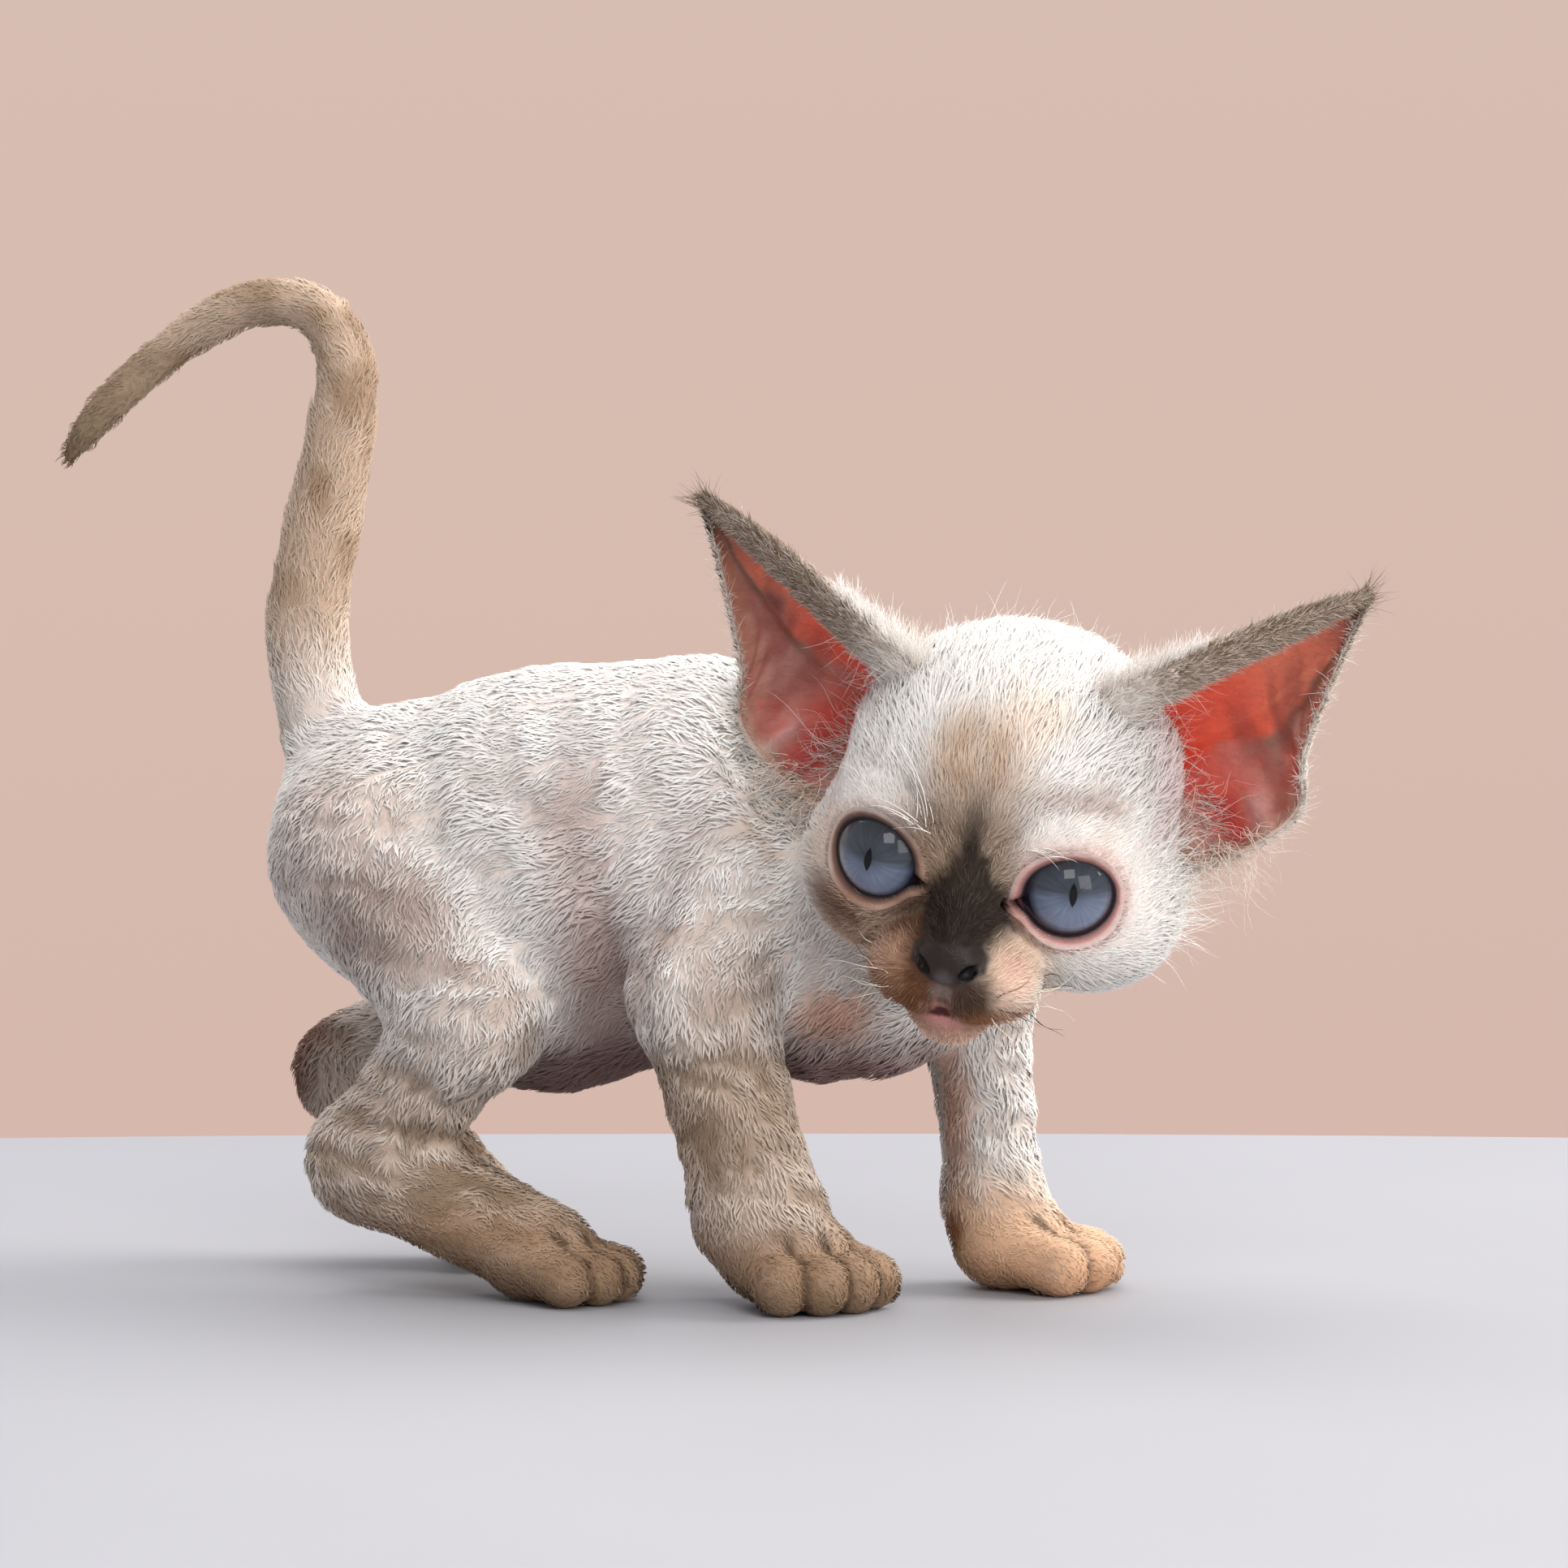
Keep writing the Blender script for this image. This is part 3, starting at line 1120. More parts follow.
# The skin, as one closed surface.
skin_points, skin_faces = surface(skin_field, AXES)
skin_points[:, 2] = np.maximum(skin_points[:, 2], 0.05)
skin_colour, skin_weight, _ = colours(skin_points)
skin_normal = unit(slope(skin_field, skin_points))
skin_bare = nose_share(to_head(skin_points))


def flesh(colour, bare):
    """The skin's own colour under the coat: rosy where the hair over it is pale."""
    light = colour.mean(1)
    rosy = colour * rgb(243, 234, 230)
    return mix(colour * 0.82, rosy, (step(0.2, 0.6, light) * (1 - bare))[:, None])


skin = mesh_from("skin", skin_points, skin_faces)
paint(skin, flesh(skin_colour, skin_bare))
numbers(skin, "Bare", skin_bare)
settle(skin, SKIN, "body_coat", "torso", "neck", "head", "tail_root", "tail_shaft", "tail_hook",
       *(f"{part}_{side}" for part in ("hind_thigh", "hind_shank", "hind_foot", "fore_upper", "fore_arm", "fore_paw")
         for side in SIDES))


def build_front():
    """The nose and mouth on a grid fine enough for nostrils and lips."""
    cell = 0.27
    low, high = np.array(FRONT["at"]) - FRONT["r"], np.array(FRONT["at"]) + FRONT["r"]
    axes = [np.linspace(a, b, int((b - a) / cell)) for a, b in zip(low, high)]
    points, faces = surface(lambda q: skin_field(from_head(q), fine=True), axes)
    kept = spot(points, FRONT["at"], FRONT["r"])[faces].max(1) > 0.02
    obj = mesh_from("muzzle_skin", from_head(points), faces[kept])
    nose = nose_share(points)
    paint(obj, flesh(face_colour(points), nose))
    numbers(obj, "Bare", nose)
    settle(obj, SKIN, "face_coat")


build_front()


# The coat: short tapered tufts, three-sided, each bent once.
MOST_TUFTS = 21500  # that one piece may hold
ROOT_SHADE, TIP_SHADE = 0.9, 1.06
UV_LOW, UV_HIGH = 0.01, 0.99
PATCH, PATCH_MIDDLE, THREAD_PATCH = 0.0014, 0.0011, 0.0013  # half a hair's size on the map: foot, middle, long hair


def spread(count, least, more):
    """A random number for each hair, from the least to so much more."""
    return least + more * rng.random(count)


def jitter(count, size):
    """A random way for each hair."""
    return size * rng.normal(0, 1, (count, 3))


def tones(dark, pale, count):
    """A random colour for each hair, between two."""
    return mix(rgb(*dark), rgb(*pale), rng.random((count, 1)))


def tufts(name, slot, root, normal, facing, lie, length, lift, width, colour, uv):
    """One piece of coat, or several where it holds more than a piece may."""
    if len(root) > MOST_TUFTS:
        order = np.argsort(uv[:, 1], kind="stable")
        for i, part in enumerate(np.array_split(order, int(np.ceil(len(root) / MOST_TUFTS)))):
            rows = (root, normal, facing, lie, length, lift, width, colour, uv)
            tufts(f"{name}_{i + 1}", slot, *(row[part] for row in rows))
        return
    n = len(root)
    side = unit(np.cross(normal, lie))
    length, lift, width = length[:, None], lift[:, None], width[:, None]
    sway = rng.normal(0, 0.16, (n, 1)) * length
    foot = root - normal * 0.3
    middle = root + lie * length * 0.5 + normal * (lift * 0.85) + side * sway * 0.4
    tip = root + lie * length + normal * (lift * 1.1) + side * sway
    points, patch, pattern = np.zeros((n, 7, 3)), np.zeros((n, 7, 2)), []
    for j in range(3):
        turn = 2 * math.pi * (j / 3 + 0.25)
        around = side * math.cos(turn) + normal * (math.sin(turn) * 0.6)
        points[:, j] = foot + around * width * 0.5
        points[:, 3 + j] = middle + around * width * 0.42
        patch[:, j] = uv + [PATCH * (j - 1), -PATCH]
        patch[:, 3 + j] = uv + [PATCH_MIDDLE * (j - 1), 0]
        k = (j + 1) % 3
        pattern += [[j, k, 3 + k], [j, 3 + k, 3 + j], [3 + j, 3 + k, 6]]
    points[:, 6] = tip
    patch[:, 6] = uv + [0, PATCH]
    faces = (np.arange(n)[:, None, None] * 7 + np.array(pattern)[None]).reshape(-1, 3)
    points = points.reshape(-1, 3)
    points[:, 2] = np.maximum(points[:, 2], 0.02)
    obj = mesh_from(name, points, faces)
    shade = np.repeat(colour[:, None, :], 7, axis=1)
    shade[:, :3] *= ROOT_SHADE
    shade[:, 6] = np.minimum(1, shade[:, 6] * TIP_SHADE)
    paint(obj, shade.reshape(-1, 3))
    bake_patches(obj, faces, patch)
    soft = unit(np.repeat(facing + lie * 0.12, 7, axis=0) + rng.normal(0, 0.06, (n * 7, 3)))
    obj.data.normals_split_custom_set_from_vertices(soft.astype(np.float32))
    settle(obj, COAT, slot)


def head_tufts(name, slot, root, normal, lie, length, lift, width, colour, uv):
    """Tufts whose roots and ways are in the head's frame."""
    normal, lie = normal @ HEAD_AXES.T, lie @ HEAD_AXES.T
    tufts(name, slot, from_head(root), normal, normal, lie, length, lift, np.full(len(root), width), colour, uv)


def wound(axis_from, axis_to, p):
    """An unwrap of a limb: round its middle line, and along it."""
    a, b = np.array(axis_from, float), np.array(axis_to, float)
    along = unit(b - a)
    first = unit(np.cross(along, [0.3, 1, 0.2]))
    second = np.cross(along, first)
    q = p - a
    angle = np.arctan2(q @ second, q @ first) / (2 * math.pi) + 0.5
    place = (q @ along) / np.linalg.norm(b - a)
    return np.stack([mix(UV_LOW, UV_HIGH, angle), np.clip(0.1 + 0.8 * place, UV_LOW, UV_HIGH)], 1)


def head_uv(q):
    """An unwrap of the head: round it, and up it."""
    away = q - np.array([-2, 0, 0])
    turn = np.arctan2(away[:, 1], away[:, 0]) / (2 * math.pi) + 0.5
    height = np.arcsin(np.clip(away[:, 2] / np.linalg.norm(away, axis=1), -1, 1)) / math.pi + 0.5
    return np.clip(np.stack([turn, height], 1), UV_LOW, UV_HIGH)


# Tufts to a square millimetre, and how long, raised and wide each one is, in millimetres.
DENSITY = dict(body=2.6, paw=3.5, tail=3.1, face=5.6, head=3.2)
DENSITY_SHARE = 0.78
LENGTH = dict(body=3.1, leg=2.4, paw=1.3, tail=2.7, tail_tip=1.5, face=1.6, head=3.2, crown=1.6)
LIFT = dict(body=0.62, paw=0.36, tail=0.6, tail_tip=0.35, face=0.35, head=0.8, crown=0.7)
WIDTH = dict(body=0.39, paw=0.26, tail=0.28, face=0.17, head=0.28)
NOSE_POINT = np.array([31, 0, -10])
corner = skin_points[skin_faces]
corner_normal = skin_normal[skin_faces]
area = 0.5 * (np.linalg.norm(np.cross(corner[:, 1] - corner[:, 0], corner[:, 2] - corner[:, 0]), axis=1)
              + np.linalg.norm(np.cross(corner[:, 2] - corner[:, 0], corner[:, 3] - corner[:, 0]), axis=1))
face_q = to_head(corner.mean(1))
face_weight = skin_weight[skin_faces].mean(1)
face_height = corner.mean(1)[:, 2]
nose_gap = np.linalg.norm(face_q - NOSE_POINT, axis=1)
density = np.full(len(area), DENSITY["body"])
density = mix(density, DENSITY["paw"], step(18, 9, face_height))
density = mix(density, DENSITY["tail"], face_weight[:, 2])
on_face_density = mix(DENSITY["face"], DENSITY["head"], step(18, 42, nose_gap))
density = mix(density, on_face_density, step(0.3, 0.7, face_weight[:, 3]))
bare = skin_bare[skin_faces].mean(1)
for sign in (1, -1):
    gap = np.where(np.linalg.norm(face_q - on_side(EYE["at"], sign), axis=1) < 12, lid_gap(face_q, sign), FAR)
    bare = np.maximum(bare, step(0.55, 0.3, gap))
bare = np.maximum(bare, step(1.7, 1.1, lip_distance(face_q)))
bare = np.maximum(bare, spot(face_q, [31, 0, -18.6], [4, 4.6, 2.2]))
bare = np.maximum(bare, step(1.2, 0.4, face_height))
density *= 1 - np.clip(bare * 1.3, 0, 1)
density *= DENSITY_SHARE

chance = area * density
total = int(chance.sum())
pick = np.searchsorted(np.cumsum(chance), (np.arange(total) + rng.random(total)) * chance.sum() / total)
pick = np.minimum(pick, len(chance) - 1)
a, b = rng.random((2, total, 1))
quad = corner[pick]
root = mix(mix(quad[:, 0], quad[:, 1], a), mix(quad[:, 3], quad[:, 2], a), b)
quad = corner_normal[pick]
normal = unit(mix(mix(quad[:, 0], quad[:, 1], a), mix(quad[:, 3], quad[:, 2], a), b))
root += normal * (0.27 * step(0.3, 0.8, spot(to_head(root), FRONT["at"], FRONT["r"])))[:, None]
colour, weight, share = colours(root)
q = to_head(root)
lie = coat_lie(root, normal, weight, share)
waves = ripple(root, weight, share)
on_head, on_tail = step(0.35, 0.7, weight[:, 3]), weight[:, 2]
low = step(18, 9, root[:, 2])
nose_gap = np.linalg.norm(q - NOSE_POINT, axis=1)
eye_gap = np.minimum(*(np.linalg.norm(q - on_side(EYE["at"], s), axis=1) for s in (1, -1))) - EYE["r"]
face_fine = np.minimum(step(6, 34, nose_gap), step(0.5, 11, eye_gap))

crown = step(6, 14, q[:, 2]) * step(20, 6, q[:, 0])
on_legs = weight[:, 4:].sum(1)
length = mix(LENGTH["body"], LENGTH["leg"], on_legs)
length = mix(length, LENGTH["paw"], low)
length = mix(length, mix(LENGTH["tail"], LENGTH["tail_tip"], share), on_tail)
length = mix(length, mix(LENGTH["face"], LENGTH["head"], face_fine) + LENGTH["crown"] * crown, on_head)
length *= spread(total, 0.75, 0.5)
lift = np.full(total, LIFT["body"])
lift = mix(lift, LIFT["paw"], low)
lift = mix(lift, mix(LIFT["tail"], LIFT["tail_tip"], share), on_tail)
lift = mix(lift, mix(LIFT["face"], LIFT["head"], face_fine) + LIFT["crown"] * crown, on_head)
lift *= spread(total, 0.7, 0.6)
width = np.full(total, WIDTH["body"])
width = mix(width, WIDTH["paw"], low)
width = mix(width, WIDTH["tail"], on_tail)
width = mix(width, mix(WIDTH["face"], WIDTH["head"], face_fine), on_head)

# The coat's waves lift the tufts and turn the way their surface faces.
swell = mix(mix(0.62, 0.2, on_head), 0.12, np.maximum(low, 0.4 * on_tail))
tilt = np.zeros_like(root)
for axis in range(3):
    e = np.zeros(3)
    e[axis] = 0.35
    tilt[:, axis] = (ripple(root + e, weight, share) - ripple(root - e, weight, share)) / 0.7
facing = unit(normal - 1.6 * swell[:, None] * level(tilt, normal))
root = root + normal * (swell * waves)[:, None]

# The hair wavers, and neighbouring tufts lean together into small locks.
side_way = unit(np.cross(normal, lie))
waver = 0.65 * noise(root, 4.0, 51) + 0.6 * noise(root, 1.9, 52) + 0.25 * rng.normal(0, 1, total)
waver *= mix(1.0, 0.5 + 0.4 * crown, on_head)
lie = unit(lie + side_way * waver[:, None])
seeds = rng.choice(total, total // 14, replace=False)
tree = KDTree(len(seeds))
for i, at in enumerate(root[seeds]):
    tree.insert(at, i)
tree.balance()
lock = seeds[np.array([tree.find(at)[1] for at in root])]
aim = level(root[lock] + lie[lock] * length[:, None] * 1.15 - root, normal)
lie = unit(mix(lie * length[:, None], aim, mix(0.42, 0.25, on_head)[:, None]))
colour = colour * (1 + 0.035 * rng.normal(0, 1, (total, 1))) * (1 + 0.05 * noise(root[lock], 0.7, 53))[:, None]
colour = colour * (1 + 0.10 * waves[:, None])
pale = on_head * step(28, 12, nose_gap) * rng.random(total) ** 2.5 * mix(0.25, 1, step(0.03, 0.2, colour.mean(1)))
colour = np.clip(mix(colour, colour * 1.1 + rgb(214, 190, 164) * 0.35, pale[:, None]), 0, 1)

name_of = np.array(["trunk", "trunk", "tail", "head"] + [limb[0] for limb in LIMBS])
whose = name_of[weight.argmax(1)]
whose[on_head > 0.5] = "head"


def put(part, slot, uv):
    """The tufts of one part of the cat."""
    chosen = whose == part
    if chosen.any():
        rows = (root, normal, facing, lie, length, lift, width, colour, uv)
        tufts("coat_" + part, slot, *(row[chosen] for row in rows))


round_trunk = np.arctan2(root[:, 1], root[:, 2] - 66) / (2 * math.pi) + 0.5
put("trunk", "body_coat", np.clip(np.stack([round_trunk, (root[:, 0] + 112) / 160], 1), UV_LOW, UV_HIGH))
from_line = root - TAIL_LINE[np.clip((share * TAIL_STEPS).astype(int), 0, TAIL_STEPS)]
outward = np.cross(tail_ahead(share), [0, 1, 0])
round_tail = np.arctan2(from_line[:, 1], (from_line * outward).sum(1)) / (2 * math.pi) + 0.5
put("tail", "tail_coat", np.clip(np.stack([round_tail, 0.02 + 0.96 * share], 1), UV_LOW, UV_HIGH))
put("head", "face_coat", head_uv(q))
LEG_PARTS = ((HIND, (("thigh", "hip", "knee"), ("shank", "knee", "hock"), ("foot", "hock", "ball"))),
             (FORE, (("upper", "shoulder", "elbow"), ("forearm", "elbow", "wrist"), ("paw", "wrist", "paw"))))
for legs, parts in LEG_PARTS:
    for side, leg in legs.items():
        for part, start, end in parts:
            slot = "paw_coat" if part in ("foot", "paw") else "leg_coat"
            put(f"{part}_{side}", slot, wound(leg[start], leg[end], root))


# The ears: a cup between two edges and a back, with its folds, and the hair on it.
class Ear:
    def __init__(self, side):
        self.side = side
        swing = turned("X", EAR["swing"])
        self.count = 121
        edges = ([swing @ on_side(p, side) for p in EAR[k]] for k in ("medial", "lateral", "back"))
        self.curves = [curve_points(edge, self.count) for edge in edges]

    def at(self, angle, t, depth=0.0):
        """Places on the cup: angle from -90 (medial edge) to 90, t from root to tip, depth under its outer face."""
        place = np.clip(t, 0, 1) * (self.count - 1)
        i = np.minimum(place.astype(int), self.count - 2)
        f = (place - i)[:, None]
        m, l, b = (mix(c[i], c[i + 1], f) for c in self.curves)
        middle = (m + l) / 2
        half, rear = l - middle, b - middle
        angle, depth = (np.broadcast_to(v, place.shape)[:, None] for v in (angle, depth))

        def thin(v):
            size = np.linalg.norm(v, axis=1, keepdims=True)
            return v * (1 - np.minimum(0.5, depth / np.maximum(size, 1e-6)))

        return middle + thin(half) * np.sin(angle) + thin(rear) * np.cos(angle)

    def normal(self, angle, t):
        e = 1e-3
        du = self.at(angle + e, t) - self.at(angle - e, t)
        dv = self.at(angle, t + e) - self.at(angle, t - e)
        return unit(np.cross(du, dv)) * -self.side

    def ahead(self, angle, t, reach=0.02):
        """The way to the tip, along the outer face."""
        return unit(self.at(angle, t + reach) - self.at(angle, t - reach))


FRONT_RIM, REAR_RIM = -math.pi / 2, math.pi / 2
RIM_SWELL = 0.9  # how far the front rim's band rises, in millimetres


def ear_colour(angle, t, inner, side, place):
    share = angle / (math.pi / 2)
    fine = noise(place, 2.0, 61)
    wide = noise(place, 5.0, 62)
    out = np.broadcast_to(rgb(238, 228, 216), place.shape).copy()
    out = toward(out, rgb(196, 170, 148), 0.8 * step(0.3, 0.9, t + 0.15 * wide))
    out = toward(out, rgb(128, 104, 84), 0.85 * step(0.0, -0.75, share) * step(0.34, 0.6, t + 0.1 * fine))
    border = mix(0.0 if side > 0 else -0.12, 0.42 if side > 0 else 0.1, t) + 0.12 * wide + 0.05 * fine
    deep = np.broadcast_to(rgb(226, 128, 98), place.shape).copy()
    deep = toward(deep, rgb(224, 88, 60), step(0.62, 0.38, t))
    deep = toward(deep, rgb(222, 48, 18), step(0.36, 0.16, t))
    deep = toward(deep, rgb(178, 106, 86), step(0.74, 0.92, t + 0.06 * wide))
    outer_side = step(border - 0.03, border + 0.1, share)
    dusky = mix(rgb(186, 132, 118), rgb(192, 92, 76), step(-0.2, 0.5, wide + 0.5 * fine)[:, None])
    dusky = toward(dusky, rgb(206, 62, 44), 0.8 * step(0.42, 0.22, t) * step(0.9, 0.5, share))
    dusky = toward(dusky, rgb(166, 120, 98), 0.85 * step(0.5, 0.85, t + 0.1 * fine))
    dusky = toward(dusky, rgb(128, 92, 74), 0.9 * np.exp(-(((share - border - 0.1) / 0.09) ** 2)) * step(0.34, 0.5, t))
    deep = toward(deep, dusky, outer_side)
    fold = np.abs(noise(np.stack([t * 30 + share * 5, share * 3, t * 0], 1), 2.4, 63))
    deep = toward(deep, rgb(150, 62, 50), 0.55 * step(0.3, 0.05, fold) * step(-0.3, 0.1, share) * step(0.85, 0.6, t))
    deep = toward(deep, rgb(120, 14, 10), 0.9 * step(0.11, 0.04, t) * step(0.35, 0.0, share))
    under_pocket = np.exp(-(((t - 0.225) / 0.035) ** 2)) * step(0.3, 0.5, share) * step(0.98, 0.85, share)
    deep = toward(deep, rgb(168, 36, 34), 0.9 * under_pocket)
    deep = toward(deep, rgb(196, 150, 144), 0.8 * np.exp(-(((t - 0.30) / 0.03) ** 2)) * step(0.4, 0.6, share))
    deep = toward(deep, rgb(196, 156, 142), 0.9 * step(0.2, 0.13, t) * step(0.1, 0.4, share))
    deep = toward(deep, rgb(184, 154, 134), 0.85 * step(0.78, 0.97, share + 0.08 * fine))
    band = mix(rgb(206, 176, 164), rgb(122, 96, 80), step(0.1, 0.34, t)[:, None])
    deep = toward(deep, band, 0.9 * step(-0.80, -0.97, share))
    deep = toward(deep, rgb(104, 82, 66), 0.85 * step(0.86, 0.98, t))
    return np.where(inner[:, None], deep, out)


def ear_folds(angle, t, place):
    """How far the lining stands in from the wall, in millimetres."""
    share = angle / (math.pi / 2)
    ridge = np.zeros(len(t))
    for at_t, size, tall in ((0.42, 0.03, 0.4), (0.52, 0.035, 0.4), (0.63, 0.04, 0.3), (0.74, 0.04, 0.22)):
        bend = at_t + 0.07 * share + 0.02 * noise(place, 6, 71)
        ridge += tall * np.exp(-(((t - bend) / size) ** 2)) * step(0.0, 0.35, share) * step(1.0, 0.8, share)
    pocket = 1.1 * np.exp(-(((t - 0.305) / 0.028) ** 2)) * step(0.35, 0.6, share)
    pocket -= 0.45 * np.exp(-(((t - 0.225) / 0.035) ** 2)) * step(0.3, 0.55, share)
    spine = np.exp(-(((share + 0.12 - 0.35 * t) / 0.08) ** 2)) * step(0.05, 0.22, t) * step(0.85, 0.5, t)
    edge = step(1.0, 0.88, np.abs(share)) * step(1.0, 0.93, t)
    return (ridge + pocket + spine) * edge


def lining_depth(angle, t):
    """How far the lining lies under the ear's outer face, without its folds: thick along the front rim."""
    share = angle / (math.pi / 2)
    band = np.interp(t, *zip(*EAR["band"]))
    return EAR["inset"] + EAR["wall"] * mix(1.0, 0.55, t) + band * step(-0.66, -1.0, share)


def build_ear(name, side):
    ear = Ear(side)
    across, along = ((72, 96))
    angle, t = np.meshgrid(np.linspace(-math.pi / 2, math.pi / 2, across + 1), np.linspace(0, 1, along + 1))
    angle, t = angle.ravel(), t.ravel()
    wave = 0.12 * noise(np.stack([angle * 4, t * 22, t * 0], 1), 1, 72)
    outer = ear.at(angle, t, EAR["inset"] + wave * step(0.1, 0.3, t))
    lining = ear.at(angle, t, lining_depth(angle, t) + ear_folds(angle, t, outer))
    row = across + 1
    layer = row * (along + 1)
    rim_rows = 6
    rims = []
    for k in range(1, rim_rows):
        s = k / rim_rows
        middle = mix(outer[::row], lining[::row], s)
        swell = RIM_SWELL * math.sin(math.pi * s) * step(1.0, 0.8, t[::row])
        rims.append(middle + np.array([1.0, 0, 0]) * swell[:, None])
    points = np.concatenate([outer, lining, *rims])
    j, i = np.meshgrid(np.arange(along), np.arange(across), indexing="ij")
    a = (j * row + i).ravel()
    faces = [np.stack([a, a + row, a + row + 1, a + 1], 1), np.stack([a, a + 1, a + row + 1, a + row], 1) + layer]
    cap = []
    j = np.arange(along)
    columns = [(j * row, (j + 1) * row)]
    for k in range(rim_rows - 1):
        start = 2 * layer + k * (along + 1)
        columns.append((start + j, start + j + 1))
    columns.append((j * row + layer, (j + 1) * row + layer))
    for (a, b), (c, d) in zip(columns, columns[1:]):
        faces.append(np.stack([a, c, d, b], 1))
    a = j * row + across
    faces.append(np.stack([a, a + row, a + row + layer, a + layer], 1))
    for at in (0, along):
        ring = [at * row, *(2 * layer + k * (along + 1) + at for k in range(rim_rows - 1)), at * row + layer]
        for k in range(1, len(ring) - 1):
            corners = [ring[0], ring[k], ring[k + 1]]
            cap.append(corners if at else corners[::-1])
    i = np.arange(across)
    faces.append(np.stack([i, i + 1, i + 1 + layer, i + layer], 1))
    top = along * row + i
    faces.append(np.stack([top, top + layer, top + 1 + layer, top + 1], 1))
    faces = np.concatenate(faces)
    faces = np.concatenate([faces[:, [0, 1, 2]], faces[:, [0, 2, 3]], np.array(cap)])
    if side < 0:
        faces = faces[:, ::-1]
    obj = mesh_from(name, from_head(points), faces)
    inner = (np.arange(len(points)) >= layer) & (np.arange(len(points)) < 2 * layer)
    edge = np.arange(0, layer, row)
    angle, t = (np.concatenate([v, v, np.tile(v[edge], rim_rows - 1)]) for v in (angle, t))
    paint(obj, ear_colour(angle, t, inner, side, points))
    settle(obj, EAR_SKIN, "ear_skin", name.replace("shell_", ""))
    return ear


def curls(name, slot, root, direction, length, bend, turns, radius, colour, uv, steps=7, wavy=0.045):
    """Longer hairs, each a tapered three-sided thread that bends one way and curls."""
    n = len(root)
    direction, bend, length = unit(direction), np.asarray(bend, float), length[:, None]
    side = unit(np.cross(direction, bend + 1e-6))
    up = unit(np.cross(side, direction))
    s = np.linspace(0, 1, steps + 1)
    phase = rng.random((n, 1)) * 2 * math.pi
    rings = []
    for at in s:
        wave = np.sin(phase + at * turns * 2 * math.pi) - np.sin(phase)
        rings.append(root + direction * (length * at) + bend * (length * at**2) + side * (wave * length * wavy))
    per = steps * 3 + 1
    points, patch, pattern = np.zeros((n, per, 3)), np.zeros((n, per, 2)), []
    for k in range(steps):
        r = radius * (1 - 0.75 * s[k])
        for j in range(3):
            turn = 2 * math.pi * j / 3
            a, b = k * 3 + j, k * 3 + (j + 1) % 3
            points[:, a] = rings[k] + (side * math.cos(turn) + up * math.sin(turn)) * r
            patch[:, a] = uv + [THREAD_PATCH * (j - 1), 2 * PATCH * s[k] - PATCH]
            pattern += [[a, b, b + 3], [a, b + 3, a + 3]] if k < steps - 1 else [[a, b, per - 1]]
    pattern.append([2, 1, 0])
    points[:, -1] = rings[-1]
    patch[:, -1] = uv + [0, PATCH]
    faces = (np.arange(n)[:, None, None] * per + np.array(pattern)[None]).reshape(-1, 3)
    obj = mesh_from(name, from_head(points.reshape(-1, 3)), faces)
    paint(obj, np.repeat(colour, per, axis=0))
    bake_patches(obj, faces, patch)
    settle(obj, WISP, slot)


def ear_uv(angle, t):
    return np.stack([0.02 + 0.96 * (angle / math.pi + 0.5), 0.02 + 0.96 * t], 1)


TIP_HAIRS = 60


